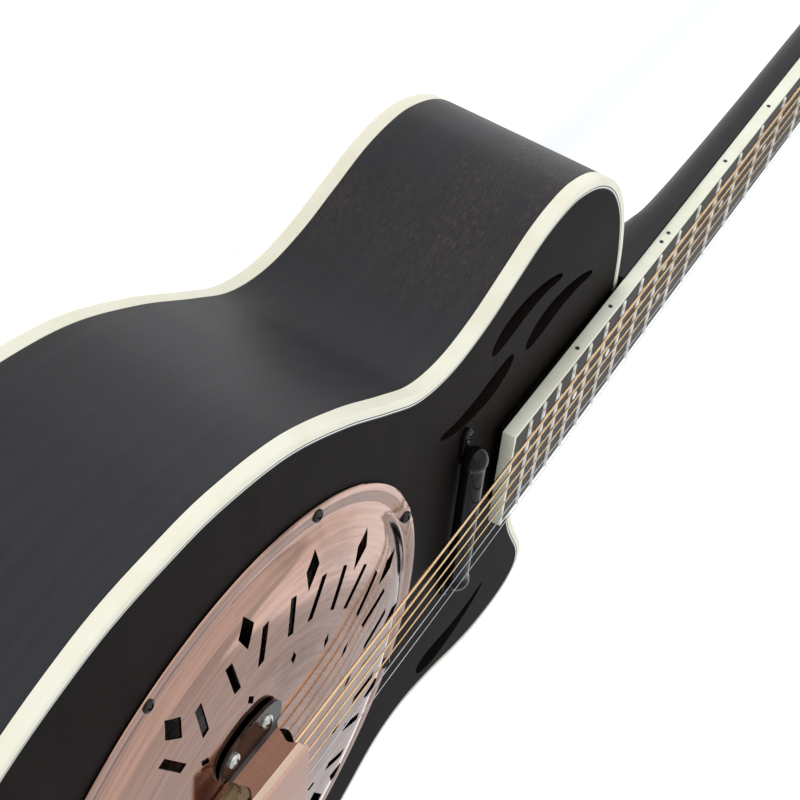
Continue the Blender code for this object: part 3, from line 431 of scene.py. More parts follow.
def carve(obj, tool, operation="DIFFERENCE"):
    """Cut a tool out of an object, or join it on. The tool is thrown away."""
    step = obj.modifiers.new(tool.name, "BOOLEAN")
    step.operation = operation
    step.object = tool
    settled(obj)
    bpy.data.objects.remove(tool, do_unlink=True)


def soften(obj, width, crease=35, least=None):
    """Round the edges a little: all of them, or only those that turn by more than the least angle."""
    bevel = obj.modifiers.new("eased", "BEVEL")
    bevel.width = width
    bevel.segments = 2
    if least:
        bevel.angle_limit = radians(least)
    return settled(obj, crease)


def seat(obj, node=None, body="root"):
    """The piece rides on a body and stands for the solid named."""
    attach(obj, body)
    if node:
        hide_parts(node)
    return obj


def skin(loops, bm=None):
    """A closed surface over loops of equal length, with capped ends."""
    bm = bm or bmesh.new()
    rings = [[bm.verts.new(point) for point in loop] for loop in loops]
    for a, b in zip(rings, rings[1:]):
        for i in range(len(a)):
            j = (i + 1) % len(a)
            bm.faces.new((a[i], a[j], b[j], b[i]))
    bm.faces.new(rings[0][::-1])
    bm.faces.new(rings[-1])
    return bm


def prism(loop, low, high, bm=None):
    """A flat loop pulled up from one height to another."""
    return skin([[(x, y, z) for x, y in loop] for z in (low, high)], bm)


def turned(profile, steps=64, bm=None, place=FLOOR):
    """Spin (radius, height) points about Z. They start and end on the axis, or make a closed ring."""
    bm = bm or bmesh.new()
    rings = []
    for radius, height in profile:
        spots = circle(0, 0, radius, steps) if radius else [(0, 0)]
        rings.append([bm.verts.new(place @ Vector((x, y, height))) for x, y in spots])
    on_axis = profile[0][0] == 0
    for a, b in zip(rings, rings[1:] if on_axis else rings[1:] + rings[:1]):
        for k in range(steps):
            corners = []
            for ring, i in ((a, k), (a, k + 1), (b, k + 1), (b, k)):
                vertex = ring[i % len(ring)]
                if vertex not in corners:
                    corners.append(vertex)
            if len(corners) > 2:
                bm.faces.new(corners)
    return bm


def eased(points, cut, steps=3, closed=True):
    """Round an outline's corners: each becomes a short curve that starts a little before it."""
    result = []
    for i, point in enumerate(points):
        if not closed and i in (0, len(points) - 1):
            result.append(tuple(point))
            continue
        here = Vector(point)
        to_before = Vector(points[i - 1]) - here
        to_after = Vector(points[(i + 1) % len(points)]) - here
        a = here + to_before.normalized() * min(cut, to_before.length * 0.45)
        b = here + to_after.normalized() * min(cut, to_after.length * 0.45)
        for k in range(steps + 1):
            t = k / steps
            result.append(tuple(a * (1 - t) ** 2 + here * 2 * t * (1 - t) + b * t * t))
    return result


def through(points, per_span, closed=True):
    """Points on a smooth Catmull-Rom curve through the given ones."""
    count = len(points)
    spans = count if closed else count - 1

    def at(i):
        return Vector(points[i % count] if closed else points[min(max(i, 0), count - 1)])

    result = []
    for i in range(spans):
        before, a, b, after = at(i - 1), at(i), at(i + 1), at(i + 2)
        for k in range(per_span):
            t = k / per_span
            result.append(tuple(0.5 * ((2 * a) + (b - before) * t + (2 * before - 5 * a + 4 * b - after) * t * t
                                       + (3 * a - before - 3 * b + after) * t ** 3)))
    return result if closed else result + [tuple(points[-1])]


def inset(loop, distance):
    """Move an anticlockwise loop inwards."""
    result = []
    for i, point in enumerate(loop):
        along = (Vector(loop[(i + 1) % len(loop)]) - Vector(loop[i - 1])).normalized()
        result.append((point[0] - along.y * distance, point[1] + along.x * distance))
    return result


def circle(x, y, radius, count=64):
    angles = [2 * pi * i / count for i in range(count)]
    return [(x + radius * cos(a), y + radius * sin(a)) for a in angles]


def cut_sheet(loops, bottom, top, ease=0.0):
    """A flat sheet with holes; its edges can be eased."""
    curve = bpy.data.curves.new("outline", "CURVE")
    curve.dimensions = "2D"
    curve.fill_mode = "BOTH"
    curve.extrude = (top - bottom) / 2 - ease
    curve.bevel_depth = ease
    curve.bevel_resolution = 1
    curve.offset = -ease
    for loop in loops:
        spline = curve.splines.new("POLY")
        spline.points.add(len(loop) - 1)
        for point, (x, y) in zip(spline.points, loop):
            point.co = (x, y, 0.0, 1.0)
        spline.use_cyclic_u = True
    holder = link("outline", curve)
    graph = bpy.context.evaluated_depsgraph_get()
    mesh = bpy.data.meshes.new_from_object(holder.evaluated_get(graph))
    bm = bmesh.new()
    bm.from_mesh(mesh)
    bmesh.ops.remove_doubles(bm, verts=bm.verts, dist=0.000005)
    bmesh.ops.translate(bm, verts=bm.verts, vec=(0, 0, (top + bottom) / 2))
    bpy.data.objects.remove(holder, do_unlink=True)
    return bm


def block(low, high, ease=0.0):
    """A box between two corners, with eased edges."""
    size = Vector(high) - Vector(low)
    place = Matrix.Translation((Vector(high) + Vector(low)) / 2) @ Matrix.Diagonal((*size, 1.0))
    made = bmesh.new()
    bmesh.ops.create_cube(made, size=1.0, matrix=place)
    if ease:
        bmesh.ops.bevel(made, geom=made.edges[:], offset=ease, segments=2, affect="EDGES", profile=0.6)
    return made


def merged(bm, extra):
    """Add one bmesh to another."""
    scratch = bpy.data.meshes.new("scratch")
    extra.to_mesh(scratch)
    extra.free()
    bm.from_mesh(scratch)
    bpy.data.meshes.remove(scratch)


def upright(point, direction):
    """A frame at a point whose Z runs along a direction."""
    turn = Vector((0, 0, 1)).rotation_difference(Vector(direction))
    return Matrix.Translation(point) @ turn.to_matrix().to_4x4()


print("shape helpers ready")

# %% [markdown]
# ## Small helpers for Geometry Nodes
# What repeats is made by a node tree: `tree_for` opens one with named inputs, `close_tree` realizes the
# instances and sets the material, and `grown` runs the tree on an object and keeps the plain mesh. A
# modifier's inputs are set by the sockets' identifiers.

# %% Helpers for Geometry Nodes
def tree_for(name, **inputs):
    """A geometry tree with one input of each given name; the value decides its kind."""
    kinds = {float: "NodeSocketFloat", int: "NodeSocketInt", bpy.types.Object: "NodeSocketObject",
             bpy.types.Material: "NodeSocketMaterial"}
    tree = bpy.data.node_groups.new(name, "GeometryNodeTree")
    tree.interface.new_socket("Geometry", in_out="INPUT", socket_type="NodeSocketGeometry")
    tree.interface.new_socket("Geometry", in_out="OUTPUT", socket_type="NodeSocketGeometry")
    for label, value in inputs.items():
        kind = next(kinds[k] for k in kinds if isinstance(value, k))
        socket = tree.interface.new_socket(label, in_out="INPUT", socket_type=kind)
        socket.default_value = value
    start = tree.nodes.new("NodeGroupInput")
    return tree, {socket.name: socket for socket in start.outputs if socket.name}


def close_tree(tree, geometry, material):
    real = add(tree, "GeometryNodeRealizeInstances", {0: geometry})
    dressed = add(tree, "GeometryNodeSetMaterial", {"Geometry": real, "Material": material})
    add(tree, "NodeGroupOutput", {0: dressed})
    return tree


def grown(name, tree, source=None, crease=35, **values):
    """Run a tree on an object's mesh and keep the result as a plain mesh."""
    holder = source or link(name, bpy.data.meshes.new(name))
    modifier = holder.modifiers.new(name, "NODES")
    modifier.node_group = tree
    for item in tree.interface.items_tree:
        if item.in_out == "INPUT" and item.name in values:
            modifier[item.identifier] = values[item.name]
    holder.name = name
    return settled(holder, crease)


def shape_from(tree, obj):
    """The geometry of an object, inside a tree."""
    return add(tree, "GeometryNodeObjectInfo", {"Object": obj}).outputs["Geometry"]


def copies_round(tree, points, count, shape):
    """A copy of the shape at each of the points, each turned one step further about Z."""
    step = sums(tree, "DIVIDE", 2 * pi, count)
    angle = sums(tree, "MULTIPLY", add(tree, "GeometryNodeInputIndex"), step)
    turn = add(tree, "ShaderNodeCombineXYZ", {"Z": angle})
    return add(tree, "GeometryNodeInstanceOnPoints", {"Points": points, "Instance": shape_from(tree, shape),
                                                      "Rotation": turn})


def wire(name, points, closed=True, place=FLOOR):
    """A mesh of edges only, for a tree to turn into a curve."""
    mesh = bpy.data.meshes.new(name)
    count = len(points)
    ends = range(count if closed else count - 1)
    mesh.from_pydata([tuple(point) if len(point) == 3 else (*point, 0.0) for point in points],
                     [(i, (i + 1) % count) for i in ends], [])
    mesh.transform(place)
    return link(name, mesh)


def drop(*objects):
    for obj in objects:
        bpy.data.objects.remove(obj, do_unlink=True)


print("tree helpers ready")

# %% [markdown]
# ## The sound box
# The outline is drawn once, as a smooth curve through points read round the edge: a wide lower bout, a
# waist, and a smaller upper bout with a pointed cutaway on the treble side. Everything that follows the
# edge is this line, moved inwards.

# %% Outline of the body
NECK_Y = 0.2985
TAIL_Y = -0.190
OUTLINE = (
    (0.000, TAIL_Y), (0.060, -0.187), (0.115, -0.167), (0.158, -0.123), (0.178, -0.070), (0.181, -0.024),
    (0.177, 0.006), (0.167, 0.037), (0.149, 0.071), (0.129, 0.100), (0.1165, 0.120), (0.1135, 0.140),
    (0.1185, 0.164), (0.1245, 0.182), (0.1285, 0.198), (0.1300, 0.214), (0.1290, 0.227), (0.1255, 0.2365),
    (0.1195, 0.2425), (0.1110, 0.2440), (0.1010, 0.2415), (0.0860, 0.2342), (0.0720, 0.2278),
    (0.0600, 0.2246), (0.0495, 0.2268), (0.0425, 0.2370), (0.0385, 0.2550), (0.0365, 0.2720),
    (0.0350, 0.2860), (0.0300, 0.2950), (0.0200, 0.2982), (0.000, NECK_Y), (-0.027, 0.2978),
    (-0.054, 0.2945), (-0.080, 0.2872), (-0.102, 0.2745), (-0.1175, 0.2575), (-0.1260, 0.2390),
    (-0.1278, 0.2240), (-0.1255, 0.2070), (-0.1185, 0.1880), (-0.1110, 0.1670), (-0.1080, 0.1450),
    (-0.1130, 0.1230), (-0.127, 0.1010), (-0.148, 0.071), (-0.167, 0.037), (-0.177, 0.004),
    (-0.1805, -0.025), (-0.178, -0.070), (-0.158, -0.123), (-0.115, -0.167), (-0.060, -0.187),
)
PER_SPAN = 8
NECK_SPAN = OUTLINE.index((0.000, NECK_Y))
BODY_LINE = through(OUTLINE, PER_SPAN)
TAPER = atan2(BODY[1][2], BODY[2][2])      # lean of the soundboard against the back
TOP_THICKNESS = 0.0042
BACK_THICKNESS = 0.0040
SIDE_THICKNESS = 0.0030
BINDING_WIDTH = 0.0033
BINDING_HEIGHT = 0.0060
LINE_WIDTH = 0.0005                        # each of the three purfling lines
LINE_DEPTH = 0.0012
GAP = 0.0003                               # left between neighbours, so that no two faces share a place


def on_back(loop):
    """A loop of the soundboard's frame, dropped along the sides onto the back plate."""
    return [(x, y / cos(TAPER) - BODY.translation.z * sin(TAPER) / cos(TAPER)) for x, y in loop]


length = sum((Vector(a) - Vector(b)).length for a, b in zip(BODY_LINE, BODY_LINE[1:] + BODY_LINE[:1]))
print("%d points, %.0f mm round the edge, sides taper %.2f degrees" % (len(BODY_LINE), length * 1000,
                                                                       TAPER * 180 / pi))

# %% [markdown]
# The two sides are thin boards bent to the outline and butted at the tail and under the neck's heel. Each
# is a row of four-cornered sections. Their lower edge follows the back, which leans against the soundboard,
# so the body grows deeper towards the tail. The UV map measures metres along the bend and across it.

# %% Sides
def side_bottom(y):
    """Height of the back binding's upper edge in the soundboard's frame."""
    level = BINDING_HEIGHT + GAP
    return (level - BODY.translation.z + y * sin(TAPER)) / cos(TAPER)


def side(name, first, last):
    top = -BINDING_HEIGHT - GAP
    inner_line = inset(BODY_LINE, SIDE_THICKNESS)
    loops = []
    for i in range(first, last + 1):
        (x, y), (u, v) = BODY_LINE[i % len(BODY_LINE)], inner_line[i % len(BODY_LINE)]
        loops.append([(x, y, top), (x, y, side_bottom(y)), (u, v, side_bottom(v)), (u, v, top)])
    bm = skin(loops)
    bm.verts.index_update()
    run = [0.0]
    for a, b in zip(loops, loops[1:]):
        run.append(run[-1] + (Vector(b[0]) - Vector(a[0])).length)
    grain_map = bm.loops.layers.uv.new("UVMap")
    for bm_face in bm.faces:
        for corner in bm_face.loops:
            station = corner.vert.index // 4
            corner[grain_map].uv = (run[station], corner.vert.co.z)
    return seat(piece(name + "_panel", bm, SIDE_WOOD), name)


SEAM = NECK_SPAN * PER_SPAN
treble = side("treble_side", 0, SEAM)
bass = side("bass_side", SEAM, len(BODY_LINE))
print("bass side %.0f mm deep at the tail" % (-side_bottom(TAIL_Y) * 1000))

# %% [markdown]
# Binding and purfling follow the same line, so one tree makes them all: it sweeps a small section along the
# outline, with the curve's normal kept level. The binding's outer corner is rounded by scraping. Inside it,
# on the top only, run three thin lines, black, white and black.

# %% Edge strips
def strip_tree():
    tree, given = tree_for("edge_strip", Section=treble, Finish=CREAM)
    path = add(tree, "GeometryNodeMeshToCurve", {0: given["Geometry"]})
    level = add(tree, "GeometryNodeSetCurveNormal", {"Curve": path}, mode="Z_UP")
    section = add(tree, "GeometryNodeMeshToCurve", {0: shape_from(tree, given["Section"])})
    swept = add(tree, "GeometryNodeCurveToMesh", {"Curve": level, "Profile Curve": section})
    return close_tree(tree, swept, given["Finish"])


EDGE_STRIP = strip_tree()


def edge_strip(name, line, place, section, finish):
    """Sweep a section of (outwards, up) points along a closed line."""
    path = wire(name, line)
    profile = wire("section", [(outwards, -up) for outwards, up in section])
    strip = grown(name, EDGE_STRIP, path, 30, Section=profile, Finish=finish)
    drop(profile)
    strip.data.transform(place)
    bm = bmesh.new()
    bm.from_mesh(strip.data)
    bmesh.ops.recalc_face_normals(bm, faces=bm.faces)
    bm.to_mesh(strip.data)
    bm.free()
    return strip


def binding_section(low, high, round_top):
    """The binding's section; its scraped corner is the outer one away from the side."""
    corners = [(0, low), (0, high), (-BINDING_WIDTH, high), (-BINDING_WIDTH, low)]
    rounded_corner = 1 if round_top else 0
    section = []
    for i, corner in enumerate(corners):
        if i == rounded_corner:
            arc = eased([corners[i - 1], corner, corners[i + 1]], 0.0011, 4, closed=False)
            section += arc[1:-1]
        else:
            section.append(corner)
    return section


top_section = binding_section(-BINDING_HEIGHT, 0.0, True)
seat(edge_strip("top_binding_strip", BODY_LINE, BODY, top_section, CREAM), "top_binding")
back_section = binding_section(0.0, BINDING_HEIGHT, False)
seat(edge_strip("back_binding_strip", on_back(BODY_LINE), FLOOR, back_section, CREAM), "back_binding")
for k, finish in enumerate((BLACK_LINE, WHITE_LINE, BLACK_LINE)):
    near = -BINDING_WIDTH - k * LINE_WIDTH
    far = near - LINE_WIDTH
    line_section = [(near, -LINE_DEPTH), (near, 0.0), (far, 0.0), (far, -LINE_DEPTH)]
    seat(edge_strip("purfling_line_%d" % (k + 1), BODY_LINE, BODY, line_section, finish))
print("binding %.1f mm high, purfling %.1f mm wide" % (BINDING_HEIGHT * 1000, 3 * LINE_WIDTH * 1000))

# %% [markdown]
# The soundboard is cut from a sheet: a large round hole for the cone, holes for the controls, and four
# leaf-shaped sound holes, three on the bass side and one on the treble side. One leaf is drawn once, and
# signs mirror it across and along the guitar.

# %% Soundboard and back
LEAF = (
    (0.0000, 0.0000), (0.0062, 0.0032), (0.0103, 0.0130), (0.0102, 0.0270), (0.0064, 0.0420), (0.0016, 0.0525),
    (-0.0014, 0.0562), (-0.0034, 0.0564), (-0.0031, 0.0520), (-0.0014, 0.0440), (-0.0012, 0.0290),
    (-0.0034, 0.0150), (-0.0038, 0.0045),
)
LEAF_PLACES = ((-0.0845, 0.1775, -1, 1), (-0.0605, 0.2090, -1, 1), (-0.0648, 0.1990, 1, -1),
               (0.0975, 0.1495, 1, 1))
WELL_RADIUS = 0.1208
CONTROL_PLACES = {"volume": (0.1535, -0.0480), "tone": (0.1440, -0.0860)}
CONTROL_HOLE_RADIUS = 0.0045
TIP = LEAF.index((-0.0034, 0.0564))


def leaf_hole(x, y, across, along):
    """One sound hole; its tip stays sharp, and the rest is a smooth curve."""
    from_tip = [(x + across * a, y + along * b) for a, b in (*LEAF[TIP:], *LEAF[:TIP + 1])]
    return through(from_tip, 5, closed=False)[:-1]


top_line = inset(BODY_LINE, BINDING_WIDTH + 3 * LINE_WIDTH)
holes = [circle(0, CONE_Y, WELL_RADIUS, 96)] + [leaf_hole(*place) for place in LEAF_PLACES]
holes += [circle(x, y, CONTROL_HOLE_RADIUS, 24) for x, y in CONTROL_PLACES.values()]
soundboard = piece("soundboard_plate", cut_sheet([top_line] + holes, -TOP_THICKNESS, 0.0), TOP_WOOD)
seat(soundboard, "soundboard")
back_line = on_back(inset(BODY_LINE, BINDING_WIDTH))
seat(piece("back_panel", cut_sheet([back_line], 0.0, BACK_THICKNESS), BACK_WOOD, FLOOR), "back_plate")
print("sound holes:", len(LEAF_PLACES))

# %% [markdown]
# Linings widen the glued joint between a thin side and each plate. They are sawn nearly through every few
# millimetres so that they bend, which leaves a row of small wedges. The tree walks along the side's inner
# line and sets a wedge at each step, turned to the line's direction.

# %% Kerfed linings
def lining_tree():
    tree, given = tree_for("kerfed_lining", Wedge=treble, Pitch=0.0065, Finish=MAHOGANY)
    path = add(tree, "GeometryNodeMeshToCurve", {0: given["Geometry"]})
    steps = add(tree, "GeometryNodeCurveToPoints", {"Curve": path, "Length": given["Pitch"]}, mode="LENGTH")
    turn = add(tree, "FunctionNodeAlignRotationToVector", {"Vector": steps.outputs["Tangent"]}, axis="X",
               pivot_axis="Z")
    wedge = shape_from(tree, given["Wedge"])
    wedges = add(tree, "GeometryNodeInstanceOnPoints", {"Points": steps, "Instance": wedge, "Rotation": turn})
    return close_tree(tree, wedges, given["Finish"])


def wedge(up):
    """A wedge against the side and one plate; `up` is the direction away from the plate."""
    section = ((0.0002, 0.0), (0.0062, 0.0), (0.0062, up * 0.0025), (0.0002, up * 0.0120))
    return piece("wedge", skin([[(x, y, z) for y, z in section] for x in (-0.0027, 0.0027)]), MAHOGANY, FLOOR)


LINING = lining_tree()
side_line = inset(BODY_LINE, SIDE_THICKNESS)
for name, line, place, height, up in (("top_lining", side_line, BODY, -TOP_THICKNESS - 0.0001, -1),
                                      ("back_lining", on_back(side_line), FLOOR, BACK_THICKNESS + 0.0001, 1)):
    blank = wedge(up)
    lining = grown(name, LINING, wire(name, line), Wedge=blank, Finish=MAHOGANY)
    lining.data.transform(place @ Matrix.Translation((0, 0, height)))
    drop(blank)
    seat(lining)
    print(name, len(lining.data.polygons) // 6, "wedges")

# %% [markdown]
# ## The resonator
# A spun aluminium cone sits in a wooden well, and the saddle stands on its small end, on a round wooden
# biscuit. The cone is one profile turned on a lathe: a rolled rim, a shallow groove, shallow spun steps and
# a flat seat. The well, biscuit and saddle keep their solids and get their woods.

# %% Cone and inner wood
CONE_SEAT_Z = -0.0215
CONE_RADIUS = 0.1200


def cone_profile():
    """Upper surface from the seat outwards, then the underside back."""
    upper = [(0.0, 0.0), (0.0192, 0.0), (0.0200, -0.0003)]
    steps = 26
    for k in range(1, steps + 1):
        t = k / steps
        radius = 0.0200 + t * 0.078
        ripple = 0.00016 * (1 if k % 2 else -1)
        upper.append((radius, t * (CONE_SEAT_Z + 0.0045) + ripple))
    upper += [(0.102, CONE_SEAT_Z + 0.0024), (0.106, CONE_SEAT_Z + 0.0018), (0.110, CONE_SEAT_Z + 0.0024),
              (0.113, CONE_SEAT_Z + 0.0030), (CONE_RADIUS - 0.001, CONE_SEAT_Z + 0.0030),
              (CONE_RADIUS, CONE_SEAT_Z + 0.0022)]
    skin_thickness = 0.0006
    lower = [(max(r - 0.0001, 0.0), z - skin_thickness) for r, z in reversed(upper[:-2])]
    return upper + [(CONE_RADIUS, CONE_SEAT_Z), (0.1165, CONE_SEAT_Z)] + lower[:-1] + [(0.0, -skin_thickness)]


# The cone's dark colour is painted shade from inside the body.
cone = piece("spun_cone", turned(cone_profile(), 96), SHADED_CONE_ALUMINIUM, CONE_AXIS, 50)
seat(cone, "resonator_cone")


def carried(material, *names):
    """Solids whose shape is right keep it and get a proper finish."""
    for name in names:
        for material_slot in frame["nodes"][name].material_slots:
            material_slot.material = material


carried(SPRUCE, "top_brace", "upper_back_brace", "lower_back_brace")
carried(MAHOGANY, "neck_block", "end_block", "soundwell")
carried(MAPLE, "biscuit", "saddle")
carried(TOP_WOOD, "fingerboard_riser")
print("cone: %d faces" % len(cone.data.polygons))

# %% [markdown]
# ## The cover plate
# The plate is thin sheet metal, spun into a low dome with a concave channel and a flat lip. Sixteen groups
# of openings are punched through it: a diamond at the outside, two slanted slots, and a small notch nearer
# the middle. An oval window lets the strings reach the saddle. The plate is turned first. One group of
# punches is drawn once; a tree turns it round the centre sixteen times and takes the copies out of the
# plate.

# %% Cover plate blank
PLATE_RADIUS = 0.1295
PLATE_THICKNESS = 0.0010
PLATE_TURN = Matrix.Rotation(radians(-1.4), 4, "Z")   # how the plate was screwed down
PLATE_PROFILE = through((
    (0.0, 0.0113), (0.030, 0.0110), (0.050, 0.0104), (0.069, 0.0094), (0.082, 0.0082), (0.094, 0.0072),
    (0.1040, 0.0061), (0.1110, 0.0049), (0.1155, 0.0034), (0.1185, 0.0020), (0.1208, 0.0012), (0.1228, 0.0011),
    (0.1245, 0.0014), (0.1268, 0.0015), (0.1288, 0.0014)), 5, closed=False)


def plate_height(radius):
    """Height of the plate's upper face, in the soundboard's frame."""
    for (r0, z0), (r1, z1) in zip(PLATE_PROFILE, PLATE_PROFILE[1:]):
        if radius <= r1:
            return z0 + (z1 - z0) * (radius - r0) / (r1 - r0)
    return PLATE_PROFILE[-1][1]


def plate_slope(radius):
    step = 0.0004
    return (plate_height(radius + step) - plate_height(max(radius - step, 0.0))) / (2 * step)


rim = [(PLATE_RADIUS - 0.0002, 0.0012), (PLATE_RADIUS, 0.0008), (PLATE_RADIUS - 0.0001, 0.0004)]
underside = [(r, z - PLATE_THICKNESS) for r, z in reversed(PLATE_PROFILE)]
plate_blank = piece("cover_plate_blank", turned(PLATE_PROFILE + rim + underside, 160), PLATE_COPPER, FLOOR)
print("plate blank: %d faces" % len(plate_blank.data.polygons))


# %% Punches
RAYS = 16
PUNCH_LOW, PUNCH_HIGH = -0.01, 0.03        # the punches reach well past both faces of the plate
SLOT_HALF = 0.0019                         # half a slot's width
SLOT_START, SLOT_END = 0.0815, 0.0990      # its ends, from the plate's middle


def punch_group():
    """The punches of one ray, on the +X axis: a diamond, a slot on each side of it and a notch."""
    bm = bmesh.new()
    shapes = [([(0.0965, 0.0), (0.1060, 0.0046), (0.1132, 0.0), (0.1060, -0.0046)], 0.0004)]
    for inner, outer in ((-0.0068, -0.0108), (0.0068, 0.0108)):
        shapes.append(([(SLOT_START, inner - SLOT_HALF), (SLOT_END, outer - SLOT_HALF),
                        (SLOT_END, outer + SLOT_HALF), (SLOT_START, inner + SLOT_HALF)], 0.0004))
    shapes.append(([(0.0660, -0.0010), (0.0692, -0.0019), (0.0724, 0.0010), (0.0692, 0.0019)], 0.0003))
    for loop, ease in shapes:
        prism(eased(loop, ease, 2), PUNCH_LOW, PUNCH_HIGH, bm)
    return piece("punch_group", bm, PLATE_COPPER, FLOOR)


def punching_tree():
    tree, given = tree_for("punched_plate", Punch=plate_blank, Window=plate_blank, Rays=RAYS,
                           Finish=PLATE_COPPER)
    centre = add(tree, "GeometryNodeMeshLine", {"Count": given["Rays"], "Offset": (0, 0, 0)})
    punches = copies_round(tree, centre, given["Rays"], given["Punch"])
    real = add(tree, "GeometryNodeRealizeInstances", {0: punches})
    cutters = add(tree, "GeometryNodeJoinGeometry")
    tree.links.new(real.outputs[0], cutters.inputs[0])
    tree.links.new(shape_from(tree, given["Window"]), cutters.inputs[0])
    punched = add(tree, "GeometryNodeMeshBoolean", {"Mesh 1": given["Geometry"], "Mesh 2": cutters},
                  operation="DIFFERENCE", solver="EXACT")
    return close_tree(tree, punched.outputs["Mesh"], given["Finish"])


WINDOW_HALF = (0.0385, 0.0300)
window_loop = [(x * WINDOW_HALF[0], y * WINDOW_HALF[1]) for x, y in circle(0, 0, 1.0, 96)]
window = piece("window_punch", prism(window_loop, -0.02, 0.04), PLATE_COPPER, FLOOR)
punch = punch_group()
plate = grown("punched_cover_plate", punching_tree(), plate_blank, Punch=punch, Window=window, Rays=RAYS,
              Finish=PLATE_COPPER)
drop(punch, window)
print("punched plate: %d faces" % len(plate.data.polygons))


# %% Shade the plate by its true curve
def shade_by_profile(mesh):
    """Punching leaves long thin faces. Their corners get the turned surface's normal, so it stays smooth."""
    normals = []
    for polygon in mesh.polygons:
        upward = polygon.normal.z
        for index in polygon.loop_indices:
            place = mesh.vertices[mesh.loops[index].vertex_index].co
            radius = sqrt(place.x ** 2 + place.y ** 2)
            if abs(upward) > 0.75 and 1e-6 < radius < 0.1288:
                slope = plate_slope(radius)
                normal = Vector((-slope * place.x / radius, -slope * place.y / radius, 1)).normalized()
                normals.append(normal if upward > 0 else -normal)
            else:
                normals.append(polygon.normal)
    mesh.normals_split_custom_set(normals)


shade_by_profile(plate.data)
plate.data.transform(CONE_AXIS @ PLATE_TURN)
seat(plate, "cover_plate")
print("plate %.0f mm across, dome %.1f mm high" % (PLATE_RADIUS * 2000, plate_height(0) * 1000))

# %% [markdown]
# ## Screws
# Wood screws with a domed head and a cross recess hold the plate, the hand rest, the pickup, the tuner
# plates and the truss rod cover. The head is turned, and the cross is cut out of it; the recess is coloured
# near-black, as painted shade. A tree sets a copy at each point of a mesh, each turned differently, as
# screws are.

# %% A cross-head screw
def screw_head(name, radius, height, finish):
    """A domed head with a cross recess, standing on z = 0."""
    dome = [(0.0, height)]
    for k in range(1, 7):
        a = radians(15 * k)
        dome.append((radius * sin(a), height * (0.25 + 0.75 * cos(a))))
    dome += [(radius, 0.0), (0.0, 0.0)]
    head = piece(name, turned(dome, 24), (finish, RECESS_SHADE), FLOOR)
    arm = radius * 0.70
    width = radius * 0.17
    loop = [(width, -arm), (width, -width), (arm, -width), (arm, width), (width, width), (width, arm),
            (-width, arm), (-width, width), (-arm, width), (-arm, -width), (-width, -width), (-width, -arm)]
    recess = piece("recess", prism(loop, height * 0.30, height * 2), (finish, RECESS_SHADE), FLOOR)
    # The recess faces take the second finish, which is painted shade.
    for polygon in recess.data.polygons:
        polygon.material_index = 1
    carve(head, recess)
    return head


def screw_tree():
    """Screws at the points of a mesh, each turned at random about the point's normal."""
    tree, given = tree_for("screws_at_points", Screw=treble, Seed=1, Finish=STEEL, Recess_finish=RECESS_SHADE)
    chance = add(tree, "FunctionNodeRandomValue", {2: 0.0, 3: 2 * pi, "Seed": given["Seed"]},
                 data_type="FLOAT")
    turn = add(tree, "ShaderNodeCombineXYZ", {"Z": chance.outputs[1]})
    screws = add(tree, "GeometryNodeInstanceOnPoints", {"Points": given["Geometry"], "Rotation": turn,
                                                        "Instance": shape_from(tree, given["Screw"])})
    real = add(tree, "GeometryNodeRealizeInstances", {0: screws})
    # Faces in the recess get painted shade in place of the screw's metal.
    recess = add(tree, "GeometryNodeInputMaterialIndex")
    in_recess = add(tree, "FunctionNodeCompare", {2: recess, 3: 1}, data_type="INT", operation="EQUAL")
    body_set = add(tree, "GeometryNodeSetMaterial", {"Geometry": real, "Material": given["Finish"]})
    both = add(tree, "GeometryNodeSetMaterial", {"Geometry": body_set, "Selection": in_recess,
                                                 "Material": given["Recess_finish"]})
    add(tree, "NodeGroupOutput", {0: both})
    return tree


SCREWS = screw_tree()


def screws(name, head_radius, head_height, finish, points, place, seed):
    """Screws standing on points of a frame, as one piece."""
    mesh = bpy.data.meshes.new(name)
    mesh.from_pydata(points, [], [])
    head = screw_head("screw_head", head_radius, head_height, finish)
    made = grown(name, SCREWS, link(name, mesh), Screw=head, Seed=seed, Finish=finish,
                 Recess_finish=RECESS_SHADE)
    drop(head)
    made.data.transform(place)
    return seat(made)


PLATE_SCREW_RADIUS = 0.1255
plate_screw_angles = [radians(22.5 + 45 * k) for k in range(8)]
plate_screw_points = [(PLATE_SCREW_RADIUS * sin(a), PLATE_SCREW_RADIUS * cos(a), 0.0014)
                      for a in plate_screw_angles]
screws("cover_plate_screws", 0.0026, 0.0016, SCREW_BLACK, plate_screw_points, CONE_AXIS @ PLATE_TURN, 4)
print("plate screws:", len(plate_screw_points))

# %% [markdown]
# ## The hand rest
# A strip of the same copper-plated sheet bridges the window, so that the hand doesn't touch the saddle. It
# has a foot on each side, shaped like a lens, then a wall, a rounded shoulder and a flat top that is
# narrower in the middle. The strip is a grid: one direction runs along the bent section, the other across
# it, and its width follows the plan's outline. Solidify gives the sheet's thickness, and the polished feet
# carry two screws each. The wall is coloured a darker copper as painted shade, and the rounded ridge a
# brighter bronze as a painted highlight.

# %% Hand rest
WALL_X = 0.0405
FOOT_X = 0.0605
REST_SHEET = 0.0014
REST_HIGH = 0.0276                         # the middle of the strip
FOOT_TOP_LIMIT = 0.0012                    # the polished nickel ends this far above the foot
WALL_TOP_Z = 0.0225
RIDGE_X = 0.0368
FOOT_BULGE_X = 0.0485                      # where the foot is widest
ACROSS = 14                                # faces across the strip
REST_SCREW_X = 0.0515
foot_under = plate_height(WALL_X) + GAP
foot_top = foot_under + REST_SHEET
# How far up the wall, from 0 to 1, and half the strip's width there.
WALL_WIDTHS = ((0.0, 0.0150), (0.15, 0.0135), (0.50, 0.0116), (0.80, 0.0150), (0.90, 0.0172), (1.0, 0.0165))


